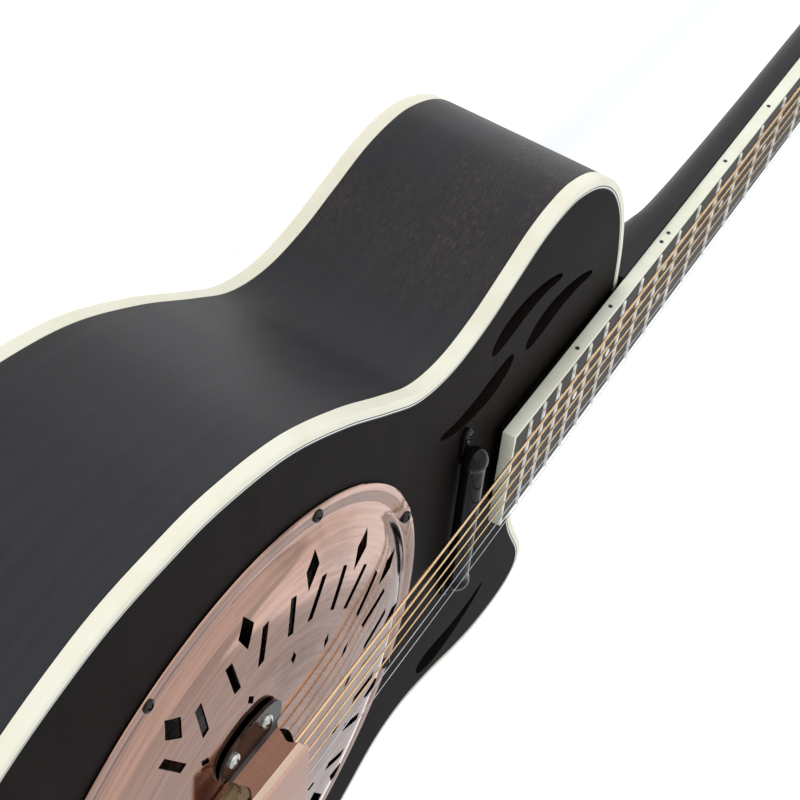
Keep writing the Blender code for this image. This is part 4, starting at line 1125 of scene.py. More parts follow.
def half_section():
    """Upper face of the strip from the foot's tip to the middle, as (x, z)."""
    wall = WALL_X + 0.0012
    bend = eased([(-FOOT_X, foot_top), (-wall, foot_top), (-wall + 0.0010, 0.0200), (-wall + 0.0052, 0.0256),
                  (-0.020, 0.0272), (0.0, REST_HIGH)], 0.0032, 6, closed=False)
    fine = []
    for (x0, z0), (x1, z1) in zip(bend, bend[1:]):
        pieces = max(1, int((Vector((x1, z1)) - Vector((x0, z0))).length / 0.0010))
        fine += [(x0 + (x1 - x0) * k / pieces, z0 + (z1 - z0) * k / pieces) for k in range(pieces)]
    return fine + [(0.0, REST_HIGH)]


def half_width(x, z):
    """Half the strip's width at a place: a lens at the foot, then a waist towards the middle."""
    reach = abs(x)
    if z < foot_top + 0.0002 and reach > WALL_X + 0.0011:
        t = (reach - FOOT_BULGE_X) / (FOOT_X - FOOT_BULGE_X)
        return 0.0180 * sqrt(max(0.0, 1 - max(t, 0.0) ** 2.6)) - 0.0035 * max(0.0, -t) ** 2
    rise = min(1.0, (z - foot_top) / (0.0265 - foot_top))
    for (low, narrow), (high, wide) in zip(WALL_WIDTHS, WALL_WIDTHS[1:]):
        if rise <= high:
            t = (rise - low) / (high - low)
            edge = narrow + (wide - narrow) * t * t * (3 - 2 * t)
            break
    middle = 1 - min(1.0, reach / WALL_X)
    return edge - 0.0020 * middle * rise


def rest_finish(place):
    """The finish's number at a place: 0 flat top, 1 foot, 2 wall with painted shade, 3 ridge with a painted
    highlight.
    """
    if place.z < foot_top + FOOT_TOP_LIMIT:
        return 1
    # The wall carries painted shade, and the ridge carries a painted highlight.
    if place.z < WALL_TOP_Z:
        return 2
    return 3 if abs(place.x) > RIDGE_X else 0


def hand_rest():
    section = half_section()
    section += [(-x, z) for x, z in reversed(section[:-1])]
    bm = bmesh.new()
    rows = []
    for x, z in section:
        width = max(half_width(x, z), 0.0002)
        spread = [CONE_Y * 0.4 - width * cos(pi * k / ACROSS) for k in range(ACROSS + 1)]
        rows.append([bm.verts.new((x, y, z)) for y in spread])
    for a, b in zip(rows, rows[1:]):
        for k in range(ACROSS):
            bm_face = bm.faces.new((a[k], a[k + 1], b[k + 1], b[k]))
            bm_face.material_index = rest_finish(bm_face.calc_center_median())
    made = piece("hand_rest_strip", bm, (REST_COPPER, DARK_NICKEL, REST_WALL_SHADE, REST_RIDGE_HIGHLIGHT), FLOOR, 50)
    if made.data.polygons[len(made.data.polygons) // 2].normal.z < 0:
        made.data.flip_normals()
    thick = made.modifiers.new("sheet", "SOLIDIFY")
    thick.thickness = REST_SHEET
    thick.offset = -1
    soften(made, 0.00035, 40, least=50)
    made.data.transform(BODY)
    return made


rest = hand_rest()
seat(rest, "hand_rest")
rest_screws = [(side_sign * REST_SCREW_X, y, foot_top) for side_sign in (-1, 1) for y in (-0.0108, 0.0087)]
screws("hand_rest_screws", 0.0031, 0.0019, NICKEL, rest_screws, BODY, 7)
print("hand rest: %d faces, foot %.1f mm above the soundboard" % (len(rest.data.polygons), foot_under * 1000))

# %% [markdown]
# ## The neck
# The neck is a loft: sections that are flat on top and round below run from the heel to the nut. They are
# deep and narrow at the heel, then sweep up into the shallow back of the neck. The stations are few, and a
# smooth curve through them gives the sections between. The headstock is cut from a sheet and joined on, and
# the part inside the body is cut away.

# %% Fingerboard sizes
NUT_HALF_WIDTH = 0.0215
BOARD_END_HALF_WIDTH = 0.0293
BOARD_LENGTH = 0.4577
BOARD_THICKNESS = 0.0060
BOARD_BINDING = 0.0018
NUT_LENGTH = 0.0050
VENEER_THICKNESS = 0.0015
HEAD_THICKNESS = 0.0140
BACK_OF_HEAD = -(VENEER_THICKNESS + GAP + HEAD_THICKNESS)


def board_half_width(distance):
    return NUT_HALF_WIDTH + (BOARD_END_HALF_WIDTH - NUT_HALF_WIDTH) * distance / BOARD_LENGTH


def fret_distance(number):
    """Distance from the nut: each fret stands at a twelfth root of two of the length that is left."""
    return SCALE_LENGTH * (1 - 2 ** (-number / 12))


print("12th fret %.1f mm from the nut" % (fret_distance(12) * 1000))


# %% Neck and headstock
def neck_section(half, depth, bottom_half, y, top, steps=24):
    points = []
    for k in range(steps + 1):
        a = pi * k / steps
        squeeze = 1 - (1 - bottom_half / half) * sin(a) ** 2
        points.append((-half * cos(a) * squeeze, y, top - depth * sin(a) ** 0.75))
    return points


HEAD_HALF = ((0.0215, -0.004), (0.0225, 0.006), (0.0300, 0.014), (0.0335, 0.022), (0.0350, 0.050),
             (0.0378, 0.120), (0.0385, 0.142), (0.0350, 0.150), (0.0180, 0.155), (0.0, 0.160))


def head_loop(start=-1.0):
    """The headstock's outline, with eased corners, from a distance in front of the nut."""
    half = eased([point for point in HEAD_HALF if point[1] > start], 0.004, 4, closed=False)
    return half + [(-x, y) for x, y in reversed(half[:-1])]


def neck():
    top = -BOARD_THICKNESS - GAP
    heel_end = NECK_Y - SCALE_LENGTH
    # Each station: distance along, half width at the top, depth, half width below.
    stations = [(heel_end - 0.003, 0.0285, 0.0735, 0.0170), (heel_end + 0.003, 0.0284, 0.0600, 0.0170),
                (heel_end + 0.012, 0.0283, 0.0440, 0.0185), (heel_end + 0.026, 0.0281, 0.0310, 0.0220),
                (heel_end + 0.044, 0.0278, 0.0236, 0.0255), (heel_end + 0.068, 0.0273, 0.0193, 0.0266),
                (-0.20, board_half_width(0.20), 0.0172, 0.0249),
                (-0.05, board_half_width(0.05), 0.0158, 0.0224),
                (-0.012, NUT_HALF_WIDTH + 0.0002, 0.0150, 0.0217),
                (NUT_LENGTH, NUT_HALF_WIDTH, 0.0150, 0.0215)]
    fine = through(stations, 7, closed=False)
    sections = [neck_section(half, depth, bottom_half, y, top) for y, half, depth, bottom_half in fine]
    loft = piece("neck_and_headstock", skin(sections), NECK_WOOD, BOARD)
    core = piece("headstock_core", cut_sheet([head_loop()], BACK_OF_HEAD, -VENEER_THICKNESS - GAP, 0.0008),
                 NECK_WOOD, HEAD)
    inside = piece("inside_body", block((-0.1, NECK_Y - 0.05, -0.2), (0.1, NECK_Y + GAP, 0.05)), NECK_WOOD)
    under_nut = piece("under_nut", block((-0.04, -0.020, top), (0.04, 0.020, 0.03)), NECK_WOOD, BOARD)
    carve(loft, core, "UNION")
    carve(loft, inside)
    carve(loft, under_nut)
    smoothed(loft.data, 40)
    return seat(loft, "neck")


neck_piece = neck()
veneer = piece("headstock_face", cut_sheet([head_loop(0.005)], -VENEER_THICKNESS, 0.0, 0.0004), TOP_WOOD, HEAD)
seat(veneer, "headstock_veneer")
print("neck: %d faces" % len(neck_piece.data.polygons))

# %% [markdown]
# ## Fingerboard
# The board is a flat tapered slab between cream bindings. The frets follow one rule, so a tree makes them:
# a line of points, each moved along the board to `scale x (1 - 2^(-n/12))`, and on each point a fret whose
# length is the board's width there. Small pearl dots mark the frets on the face, and black ones on the
# binding's edge.

# %% Board and binding
def board_loop(margin):
    end = board_half_width(BOARD_LENGTH) - margin
    start = NUT_HALF_WIDTH - margin
    return [(-end, -BOARD_LENGTH + margin), (end, -BOARD_LENGTH + margin), (start, -GAP), (-start, -GAP)]


outer = board_loop(0.0)
inner = board_loop(BOARD_BINDING)
board = piece("fingerboard_slab", cut_sheet([inner], -BOARD_THICKNESS, 0.0), BOARD_WOOD, BOARD)
seat(board, "fingerboard")
horseshoe = [outer[3], outer[0], outer[1], outer[2], inner[2], inner[1], inner[0], inner[3]]
edging = piece("fingerboard_edging", cut_sheet([horseshoe], -BOARD_THICKNESS, 0.0), BOARD_CREAM, BOARD)
soften(edging, 0.0004)
seat(edging, "fingerboard_binding")
print("board %.0f mm long" % (BOARD_LENGTH * 1000))


# %% Frets
FRETS = 20
FRET_HALF = 0.0012                         # half a fret's width
FRET_FOOT = -0.0004


def fret_blank():
    """A fret one metre long with its crown's section; the tree scales its length."""
    arc = [pi * k / 8 for k in range(9)]
    crown = [(-FRET_HALF * cos(a), 0.0001 + 0.0008 * sin(a)) for a in arc]
    crown = [(-FRET_HALF, FRET_FOOT)] + crown + [(FRET_HALF, FRET_FOOT)]
    rows = [(-0.5, 0.90), (-0.4965, 1.0), (0.4965, 1.0), (0.5, 0.90)]
    return piece("fret_blank", skin([[(x, y * share, z * share) for y, z in crown] for x, share in rows]),
                 FRET_METAL, FLOOR)


def fret_tree():
    tree, given = tree_for("frets", Fret=treble, Scale_length=SCALE_LENGTH, Count=FRETS, Nut_width=0.043,
                           Widening=0.034, Finish=FRET_METAL)
    line = add(tree, "GeometryNodeMeshLine", {"Count": given["Count"], "Offset": (0, 0, 0)})
    number = sums(tree, "ADD", add(tree, "GeometryNodeInputIndex"), 1.0)
    left = sums(tree, "POWER", 2.0, sums(tree, "DIVIDE", number, -12.0))
    distance = sums(tree, "MULTIPLY", given["Scale_length"], sums(tree, "SUBTRACT", 1.0, left))
    along = add(tree, "ShaderNodeCombineXYZ", {"Y": sums(tree, "MULTIPLY", distance, -1.0)})
    places = add(tree, "GeometryNodeSetPosition", {"Geometry": line, "Position": along})
    width = sums(tree, "ADD", given["Nut_width"], sums(tree, "MULTIPLY", distance, given["Widening"]))
    scale = add(tree, "ShaderNodeCombineXYZ", {"X": width, "Y": 1.0, "Z": 1.0})
    stored = add(tree, "GeometryNodeStoreNamedAttribute", {"Geometry": places, "Name": "fret_scale",
                                                           "Value": scale}, data_type="FLOAT_VECTOR")
    read = add(tree, "GeometryNodeInputNamedAttribute", {"Name": "fret_scale"}, data_type="FLOAT_VECTOR")
    fret = shape_from(tree, given["Fret"])
    frets = add(tree, "GeometryNodeInstanceOnPoints", {"Points": stored, "Instance": fret, "Scale": read})
    return close_tree(tree, frets, given["Finish"])


blank = fret_blank()
free_width = 2 * (NUT_HALF_WIDTH - BOARD_BINDING) - 0.0002
widening = 2 * (BOARD_END_HALF_WIDTH - NUT_HALF_WIDTH) / BOARD_LENGTH
frets = grown("frets", fret_tree(), Fret=blank, Scale_length=SCALE_LENGTH, Count=FRETS, Nut_width=free_width,
              Widening=widening, Finish=FRET_METAL)
drop(blank)
frets.data.transform(BOARD)
seat(frets)
print("frets: %d faces" % len(frets.data.polygons))


# %% Position dots
def between_frets(number):
    return -(fret_distance(number - 1) + fret_distance(number)) / 2


face_dots = bmesh.new()
side_dots = bmesh.new()
for number in (3, 5, 7, 9, 12, 15, 17):
    y = between_frets(number)
    for x in ((-0.0100, 0.0100) if number == 12 else (0.0,)):
        turned([(0.0, 0.00008), (0.0020, 0.00008), (0.0022, -0.0005), (0.0, -0.0005)], 28, face_dots,
               Matrix.Translation((x, y, 0)))
    for shift in ((-0.0035, 0.0035) if number == 12 else (0.0,)):
        edge = -board_half_width(-y - shift)
        turned([(0.0, 0.00012), (0.0010, 0.00012), (0.0010, -0.0004), (0.0, -0.0004)], 14, side_dots,
               upright((edge, y + shift, -0.0030), (-1, 0, 0)))
seat(piece("pearl_dots", face_dots, PEARL, BOARD))
seat(piece("side_dots", side_dots, BLACK_LINE, BOARD))
print("dots set between the frets")

# %% [markdown]
# ## Nut and truss rod cover
# The nut is a bar of bone with six slots, as deep as its string is thick. A small black plate covers the
# truss rod's pocket behind it.

# %% Nut and cover
STRING_RADII = (0.00068, 0.00056, 0.00044, 0.00034, 0.00022, 0.00017)   # from the bass side
STRING_SPREAD_TAIL = 0.0240                # from the middle to the outer strings
STRING_SPREAD_SADDLE = 0.0242
STRING_SPREAD_NUT = 0.0181
STRING_OVER_NUT = 0.0016


def string_place(index, spread):
    return -spread + 2 * spread * index / 5


def nut():
    top = STRING_OVER_NUT + 0.0004
    outline = [(-NUT_HALF_WIDTH, -BOARD_THICKNESS), (NUT_HALF_WIDTH, -BOARD_THICKNESS),
               (NUT_HALF_WIDTH, top - 0.0008), (NUT_HALF_WIDTH - 0.0010, top)]
    for index in reversed(range(6)):
        x = string_place(index, STRING_SPREAD_NUT)
        radius = STRING_RADII[index] + 0.00008
        outline += [(x + radius * 1.15, top), (x + radius, STRING_OVER_NUT), (x, STRING_OVER_NUT - radius),
                    (x - radius, STRING_OVER_NUT), (x - radius * 1.15, top)]
    outline += [(-NUT_HALF_WIDTH + 0.0010, top), (-NUT_HALF_WIDTH, top - 0.0008)]
    rows = [[(x, y, z if z < 0 else z - drop_at) for x, z in outline]
            for y, drop_at in ((GAP, 0.0), (NUT_LENGTH * 0.55, 0.0001), (NUT_LENGTH - GAP, 0.0012))]
    return piece("slotted_nut", skin(rows), NUT_BONE, BOARD)


seat(nut(), "nut")
cover_loop = eased([(-0.0090, 0.0075), (0.0090, 0.0075), (0.0100, 0.018), (0.0060, 0.034), (0.0, 0.040),
                    (-0.0060, 0.034), (-0.0100, 0.018)], 0.003, 4)
COVER_TOP = 0.0018
cover = piece("rod_cover_plate", cut_sheet([cover_loop], GAP, COVER_TOP, 0.0003), LACQUER, HEAD)
seat(cover, "truss_rod_cover")
cover_screws = [(x, y, COVER_TOP) for x, y in ((0.0, 0.0355), (-0.0068, 0.0105), (0.0068, 0.0105))]
screws("rod_cover_screws", 0.0017, 0.0010, NICKEL, cover_screws, HEAD, 2)
carried(STEEL, "truss_rod", "volume_pot", "tone_pot")
carried(NICKEL, "truss_rod_nut")
print("nut slots:", len(STRING_RADII))

# %% [markdown]
# ## Tuners
# Three tuners share a base plate on each side. A worm on the button's shaft turns a toothed wheel at the
# foot of the string's post, sixteen to one. The post and its wheel are one piece and ride on the post's
# body; the shaft, worm and button ride on the button's. The wheel's teeth are set round it by a tree, and
# the worm's thread is a skin whose radius follows a helix.

# %% Tuner sizes and places
POST_RADIUS = 0.0030
POST_HOLE_Z = 0.0088                       # height of the string's hole above the headstock's face
WHEEL_RADIUS = 0.0065
WHEEL_TEETH = 16
TOOTH_HEIGHT = 0.0008
WORM_RADIUS = 0.0029
THREAD_PITCH = 0.0018
THREAD_DEPTH = 0.0008
PLATE_UNDER = BACK_OF_HEAD - GAP - 0.0010        # lower face of the tuners' base plates
WORM_Z = BACK_OF_HEAD - GAP - 0.0055
WORM_AHEAD = WHEEL_RADIUS + WORM_RADIUS + GAP
TUNERS = []
for row, (x, y) in enumerate(zip(POST_X, POST_ROWS)):
    TUNERS.append((6 - row, -1, x, y))
    TUNERS.append((1 + row, 1, x, y))
print("tuners:", len(TUNERS))


# %% Posts, wheels, worms and buttons
def ring_tree():
    """Copies of a shape round a circle: the teeth of a wheel, or the ribs of a knob."""
    tree, given = tree_for("copies_round_a_circle", Shape=treble, Count=WHEEL_TEETH, Radius=WHEEL_RADIUS,
                           Finish=NICKEL)
    ring = add(tree, "GeometryNodeMeshCircle", {"Vertices": given["Count"], "Radius": given["Radius"]})
    copies = copies_round(tree, ring, given["Count"], given["Shape"])
    return close_tree(tree, copies, given["Finish"])


RING = ring_tree()


def string_post(string, side_sign, x, y):
    body = "string_post_%d" % string
    wheel_top = PLATE_UNDER - GAP
    wheel_bottom = 2 * WORM_Z - wheel_top
    root = WHEEL_RADIUS - TOOTH_HEIGHT
    profile = [(0.0, 0.0170), (POST_RADIUS - 0.0004, 0.0170), (POST_RADIUS, 0.0166), (POST_RADIUS, 0.0128),
               (POST_RADIUS - 0.0004, 0.0112), (POST_RADIUS - 0.0005, 0.0085), (POST_RADIUS - 0.0004, 0.0060),
               (POST_RADIUS, 0.0048), (POST_RADIUS, wheel_top), (root, wheel_top), (root, wheel_bottom),
               (0.0024, wheel_bottom), (0.0, wheel_bottom)]
    post = piece(body + "_turned", turned(profile, 32), NICKEL, FLOOR)
    bore = piece("bore", turned([(0.0, 0.006), (0.0009, 0.006), (0.0009, -0.006), (0.0, -0.006)], 12, None,
                                upright((0, 0, POST_HOLE_Z), (0, 1, 0))), NICKEL, FLOOR)
    carve(post, bore)
    half = pi * root / WHEEL_TEETH * 0.55
    tooth_section = [(-0.0002, -half), (WHEEL_RADIUS - root, -half * 0.45), (WHEEL_RADIUS - root, half * 0.45),
                     (-0.0002, half)]
    tooth = piece("tooth", prism(tooth_section, wheel_bottom + 0.0002, wheel_top - 0.0002), NICKEL, FLOOR)
    teeth = grown(body + "_teeth", RING, Shape=tooth, Count=WHEEL_TEETH, Radius=root, Finish=NICKEL)
    drop(tooth)
    axis = HEAD @ Matrix.Translation((side_sign * x, y, 0))
    for obj in (post, teeth):
        obj.data.transform(axis)
    seat(post, body, body)
    seat(teeth, None, body)


def worm_thread(side_sign):
    """A rod whose radius follows a helix, along +X from one end of the worm to the other."""
    loops = []
    rows = 66
    for k in range(rows + 1):
        x = -0.0060 + 0.0106 * k / rows
        loop = []
        for i in range(16):
            a = 2 * pi * i / 16
            wave = 0.5 + 0.5 * cos(a - 2 * pi * x / THREAD_PITCH)
            radius = WORM_RADIUS - THREAD_DEPTH + THREAD_DEPTH * min(1.0, wave * 1.4)
            loop.append((side_sign * x, radius * cos(a), radius * sin(a)))
        loops.append(loop)
    return loops


def tuner_button(string, side_sign, x, y):
    body = "tuner_button_%d" % string
    bm = skin(worm_thread(side_sign))
    along = Matrix.Rotation(side_sign * pi / 2, 4, "Y")
    turned([(0.0, -0.0090), (0.0016, -0.0090), (0.0018, -0.0087), (0.0018, 0.0175), (0.0026, 0.0180),
            (0.0026, 0.0194), (0.0, 0.0196)], 20, bm, along)
    shaft = piece(body + "_shaft", bm, NICKEL, FLOOR)
    rings = []
    for k in range(1, 16):
        a = pi * k / 16
        reach = sin(a) ** 0.8
        loop = []
        for i in range(28):
            b = 2 * pi * i / 28
            loop.append((side_sign * (0.0265 - 0.0090 * cos(a)), 0.0082 * reach * cos(b),
                         0.0040 * reach * sin(b) * (1 - 0.25 * abs(sin(b)) * sin(a))))
        rings.append(loop)
    button = piece(body + "_grip", skin(rings), NICKEL, FLOOR, 60)
    axis = HEAD @ Matrix.Translation((side_sign * x, y + WORM_AHEAD, WORM_Z))
    for obj in (shaft, button):
        obj.data.transform(axis)
    seat(shaft, body, body)
    seat(button, None, body)


for tuner in TUNERS:
    string_post(*tuner)
    tuner_button(*tuner)
print("posts and buttons turned")


# %% Tuner plates and bushings
TUNER_SCREWS = ((0.0230, 0.0262), (0.0235, 0.0545), (0.0247, 0.0915), (0.0257, 0.1222))
EAR_RADIUS = 0.0030                        # of the ears that hold the worm's shaft


def tuner_plate(side_sign, label):
    top = BACK_OF_HEAD - GAP
    low_x, high_x = sorted((side_sign * 0.0165, side_sign * 0.0330))
    corners = [(low_x, 0.0225), (high_x, 0.0225), (high_x, 0.1260), (low_x, 0.1260)]
    holes = [circle(side_sign * x, y, POST_RADIUS + 0.0004, 24) for x, y in zip(POST_X, POST_ROWS)]
    bm = cut_sheet([eased(corners, 0.003, 5)] + holes, PLATE_UNDER, top, 0.0002)
    for x, y in zip(POST_X, POST_ROWS):
        worm_y = y + WORM_AHEAD
        for offset in (-0.0072, 0.0058):
            middle = side_sign * (x + offset)
            ear = [(worm_y + EAR_RADIUS, PLATE_UNDER + 0.0003), (worm_y - EAR_RADIUS, PLATE_UNDER + 0.0003)]
            for k in range(13):
                a = pi + pi * k / 12
                ear.append((worm_y + EAR_RADIUS * cos(a), WORM_Z + EAR_RADIUS * sin(a)))
            skin([[(middle + half, a, b) for a, b in ear] for half in (-0.0006, 0.0006)], bm)
    seat(piece("tuner_base_" + label, bm, NICKEL, HEAD), "tuner_plate_" + label)
    spots = [(-side_sign * x, y, 0.0) for x, y in TUNER_SCREWS]
    flip = HEAD @ Matrix.Translation((0, 0, PLATE_UNDER)) @ Matrix.Rotation(pi, 4, "Y")
    screws("tuner_screws_" + label, 0.0018, 0.0010, NICKEL, spots, flip, 5)


tuner_plate(-1, "bass")
tuner_plate(1, "treble")
bushings = bmesh.new()
for string, side_sign, x, y in TUNERS:
    turned([(POST_RADIUS + 0.0003, -0.003), (POST_RADIUS + 0.0003, 0.0012), (0.0042, 0.0012), (0.0052, 0.0004),
            (0.0052, 0.0), (0.0042, -0.003)], 32, bushings, Matrix.Translation((side_sign * x, y, 0)))
seat(piece("post_bushings", bushings, NICKEL, HEAD))
print("base plates and bushings done")

# %% [markdown]
# ## Strings
# The four bass strings are steel wrapped in bronze wire, the two others are plain steel. Each runs from its
# ball at the tail, over the saddle and the nut, and round its post. One tree makes them: it walks along the
# route in steps of half a wrap, makes every second point thinner, and sweeps a circle, so the wraps are in
# the mesh.

# %% String routes
TAIL_BAR_Y = -0.1420
TAIL_BAR_Z = 0.0085
STRING_Z_SADDLE = 0.0173
COIL_STEPS = 64                            # points of the coil round a post, a little over two turns
STEPS_PER_TURN = 28
COIL_DROP = 0.00008                        # from one point to the next
WRAP_STEP = 0.00024                        # half a wrap of the bronze wire


def string_route(index):
    """From the tail's bar over the saddle and the nut, then down round the post."""
    row = min(index, 5 - index)
    side_sign = -1 if index < 3 else 1
    wrap_radius = POST_RADIUS + STRING_RADII[index] + GAP
    post = Vector((side_sign * POST_X[row], POST_ROWS[row], POST_HOLE_Z))
    x_nut = string_place(index, STRING_SPREAD_NUT)
    route = [BODY @ Vector((string_place(index, STRING_SPREAD_TAIL), TAIL_BAR_Y + GAP, TAIL_BAR_Z)),
             BODY @ Vector((string_place(index, STRING_SPREAD_SADDLE), 0.0, STRING_Z_SADDLE)),
             BOARD @ Vector((x_nut, GAP, STRING_OVER_NUT)),
             BOARD @ Vector((x_nut, NUT_LENGTH, STRING_OVER_NUT - 0.0002))]
    for k in range(COIL_STEPS):
        a = 2 * pi * k / STEPS_PER_TURN
        spot = Vector((-side_sign * wrap_radius * cos(a), wrap_radius * sin(a), -k * COIL_DROP))
        route.append(HEAD @ (post + spot))
    return route


def string_tree():
    tree, given = tree_for("wound_string", Step=0.00025, Thick=0.0006, Thin=0.0005, Sides=8, Finish=BRONZE)
    path = add(tree, "GeometryNodeMeshToCurve", {0: given["Geometry"]})
    walked = add(tree, "GeometryNodeResampleCurve", {"Curve": path, "Length": given["Step"]}, mode="LENGTH")
    odd = sums(tree, "MODULO", add(tree, "GeometryNodeInputIndex"), 2.0)
    radius = add(tree, "ShaderNodeMapRange", {0: odd, 3: given["Thin"], 4: given["Thick"]})
    ring = add(tree, "GeometryNodeCurvePrimitiveCircle", {"Resolution": given["Sides"], "Radius": 1.0})
    swept = add(tree, "GeometryNodeCurveToMesh", {"Curve": walked, "Profile Curve": ring.outputs["Curve"],
                                                  "Scale": radius, "Fill Caps": True})
    return close_tree(tree, swept, given["Finish"])


STRING_TREE = string_tree()
for index, radius in enumerate(STRING_RADII):
    wound = index < 4
    finish = BRONZE if wound else STEEL
    route = wire("route", string_route(index), closed=False)
    string = grown("string_%d_wire" % (6 - index), STRING_TREE, route, 80, Step=WRAP_STEP if wound else 0.0015,
                   Thick=radius, Thin=radius * (0.87 if wound else 1.0), Sides=8 if wound else 12,
                   Finish=finish)
    seat(string, "string_%d" % (6 - index))
    print("string %d: %d faces" % (6 - index, len(string.data.polygons)))

# %% [markdown]
# ## Tailpiece and end pin
# A bent nickel plate hooks over the tail, and its bar holds the strings' ball ends. The strap button below
# it is also the output socket, so it is hollow.

# %% Tailpiece and end pin
HANGER_SHEET = 0.0016
PIN_Z = -0.050                             # height of the end pin's axis, in the soundboard's frame


def tailpiece():
    edge = TAIL_Y - GAP
    thick = HANGER_SHEET
    section = eased([(edge, -0.062), (edge, 0.0004), (edge + 0.0012, 0.0016), (TAIL_BAR_Y - 0.009, 0.0052),
                     (TAIL_BAR_Y - 0.009, 0.0052 + thick), (edge + 0.0004, 0.0032), (edge - thick, 0.0014),
                     (edge - thick, -0.062)], 0.0008, 3)
    hanger = piece("tail_hanger", skin([[(x, y, z) for y, z in section] for x in (-0.0185, 0.0185)]), NICKEL)
    bar = piece("tail_bar", block((-0.0300, TAIL_BAR_Y - 0.0105, 0.0045), (0.0300, TAIL_BAR_Y, 0.0118), 0.0016),
                NICKEL)
    hole = piece("tail_hole", turned([(0.0, 0.02), (0.0062, 0.02), (0.0062, -0.02), (0.0, -0.02)], 40, None,
                                     upright((0, TAIL_Y, PIN_Z), (0, 1, 0))), NICKEL)
    carve(hanger, bar, "UNION")
    carve(hanger, hole)
    seat(soften(hanger, 0.0003, least=50), "tailpiece")


tailpiece()
balls = bmesh.new()
for index in range(6):
    place = Matrix.Translation((string_place(index, STRING_SPREAD_TAIL), TAIL_BAR_Y - 0.0118, TAIL_BAR_Z))
    turned([(0.0, 0.0016), (0.0013, 0.0016), (0.0019, 0.0010), (0.0019, -0.0010), (0.0013, -0.0016),
            (0.0, -0.0016)], 16, balls, place)
seat(piece("string_balls", balls, BRONZE))
outer_y = TAIL_Y - GAP - HANGER_SHEET - GAP
pin_profile = eased([(0.0058, 0.0), (0.0075, 0.0), (0.0075, 0.0010), (0.0052, 0.0026), (0.0052, 0.0080),
                     (0.0085, 0.0098), (0.0085, 0.0122), (0.0070, 0.0132), (0.0034, 0.0132), (0.0034, -0.026),
                     (0.0058, -0.026)], 0.0006, 3)
pin_place = BODY @ Matrix.Translation((0, outer_y, PIN_Z)) @ Matrix.Rotation(pi / 2, 4, "X")
seat(piece("hollow_end_pin", turned(pin_profile, 48), NICKEL, pin_place), "end_pin_jack")
print("tail done")

# %% [markdown]
# ## Pickup and controls
# The pickup is a coil inside a black lacquered tube with domed ends. It is screwed down by a tab at each
# end. The knobs have a knurled skirt: the tree that sets the teeth of a wheel sets the ribs round a turned
# knob too.

# %% Pickup
PICKUP_Y = 0.1632
PICKUP_RADIUS = 0.0057
PICKUP_HALF = 0.0450
TAB_HALF = 0.0028
TAB_SCREW_X = 0.0515
TAB_TOP = 0.0020
tube = [(0.0, PICKUP_HALF)]
for k in range(1, 13):
    a = radians(90 - 10 * k)
    tube.append((PICKUP_RADIUS * cos(a), PICKUP_HALF - PICKUP_RADIUS * (1 - sin(a))))
tube += [(0.0050, PICKUP_HALF - 0.0094), (0.0049, 0.0)]
tube += [(r, -z) for r, z in reversed(tube[:-1])]
lying = Matrix.Translation((0, PICKUP_Y, PICKUP_RADIUS + 0.0004)) @ Matrix.Rotation(pi / 2, 4, "Y")
pickup = piece("pickup_tube", turned(tube, 48, None, lying), LACQUER, BODY, 50)
seat(pickup, "pickup")
tabs = bmesh.new()
for side_sign in (-1, 1):
    inner_x, tip_x = side_sign * 0.036, side_sign * TAB_SCREW_X
    loop = [(inner_x, PICKUP_Y - TAB_HALF), (tip_x, PICKUP_Y - TAB_HALF)]
    for k in range(1, 10):
        a = -pi / 2 + pi * k / 10
        loop.append((tip_x + side_sign * TAB_HALF * cos(a), PICKUP_Y + TAB_HALF * sin(a)))
    loop += [(tip_x, PICKUP_Y + TAB_HALF), (inner_x, PICKUP_Y + TAB_HALF)]
    merged(tabs, cut_sheet([loop], 0.0004, TAB_TOP, 0.0002))
seat(piece("pickup_tabs", tabs, LACQUER))
tab_screws = [(x, PICKUP_Y, TAB_TOP) for x in (-TAB_SCREW_X, TAB_SCREW_X)]
screws("pickup_screws", 0.0024, 0.0014, SCREW_BLACK, tab_screws, BODY, 3)
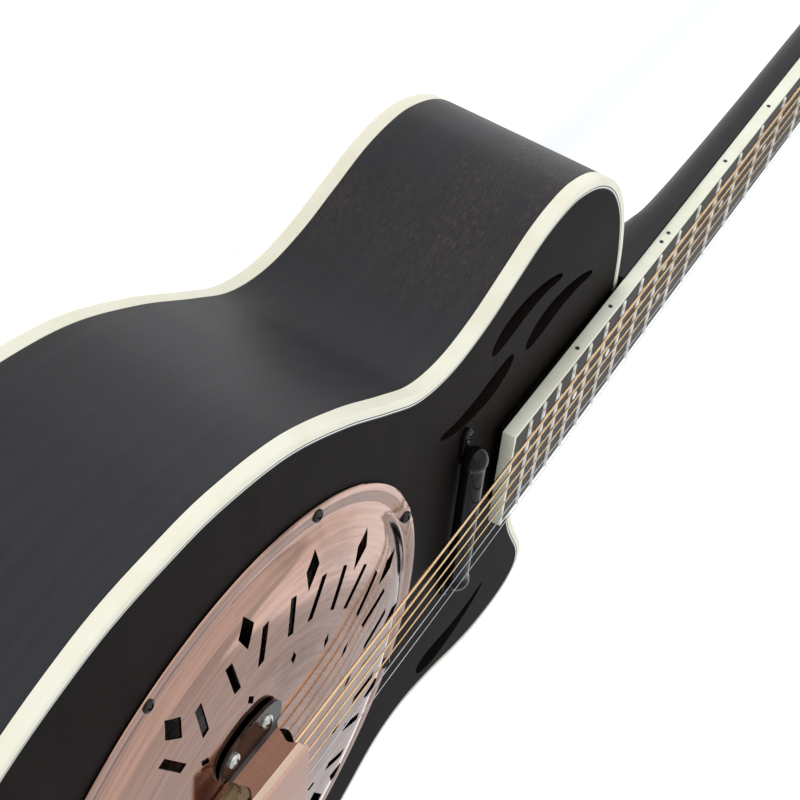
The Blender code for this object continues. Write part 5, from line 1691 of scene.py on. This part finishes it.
print("pickup %.0f mm long" % (PICKUP_HALF * 2000))


# %% Knobs
KNOB_TOP = 0.0160
KNOB_RIBS = 48
for label, (x, y) in CONTROL_PLACES.items():
    low_shaft = -TOP_THICKNESS - GAP - 0.0090
    knob_line = eased([(0.0002, KNOB_TOP), (0.0084, KNOB_TOP), (0.0094, 0.0150), (0.0102, 0.0010),
                       (0.0030, 0.0010), (0.0030, low_shaft), (0.0002, low_shaft)], 0.0008, 3, closed=False)
    knob_profile = [(0.0, KNOB_TOP)] + knob_line + [(0.0, low_shaft)]
    axis = BODY @ Matrix.Translation((x, y, 0))
    body = label + "_knob"
    seat(piece(body + "_cap", turned(knob_profile, 48), LACQUER, axis), body, body)
    rib_section = [(-0.0003, -0.0003), (0.0003, -0.0001), (0.0003, 0.0001), (-0.0003, 0.0003)]
    rib_rows = [[(a - lean, b, z) for a, b in rib_section] for z, lean in ((0.0016, 0.0), (0.0140, 0.0007))]
    rib = piece("rib", skin(rib_rows), LACQUER, FLOOR)
    ribs = grown(body + "_ribs", RING, Shape=rib, Count=KNOB_RIBS, Radius=0.0101, Finish=LACQUER)
    drop(rib)
    ribs.data.transform(axis)
    seat(ribs, None, body)
    mark = block((0.0030, -0.0005, 0.0158), (0.0078, 0.0005, 0.0161), 0.0001)
    seat(piece(body + "_mark", mark, WHITE_LINE, axis), None, body)
print("knobs done")

# %% [markdown]
# ## The floor
# A plain pale floor, large enough to fill the picture, stands under the guitar. It isn't part of the
# object.

# %% Floor
paper, paper_tree, paper_shader = new_finish("pale_paper")
paper_cloud = noise(paper_tree, place_on(paper_tree, FLOOR), 3.0, 2.0)
paper_tone = blended(paper_tree, paper_cloud, (0.90, 0.90, 0.90), (0.92, 0.92, 0.92))
dress(paper_tree, paper_shader, paper_tone, Roughness=0.9, Specular_IOR_Level=0.1, Emission_Strength=0.4)
feed(paper_tree, paper_shader.inputs["Emission Color"], paper_tone)
floor = piece("studio_floor", block((-12, -12, -0.02), (12, 12, -0.0003)), paper, FLOOR)
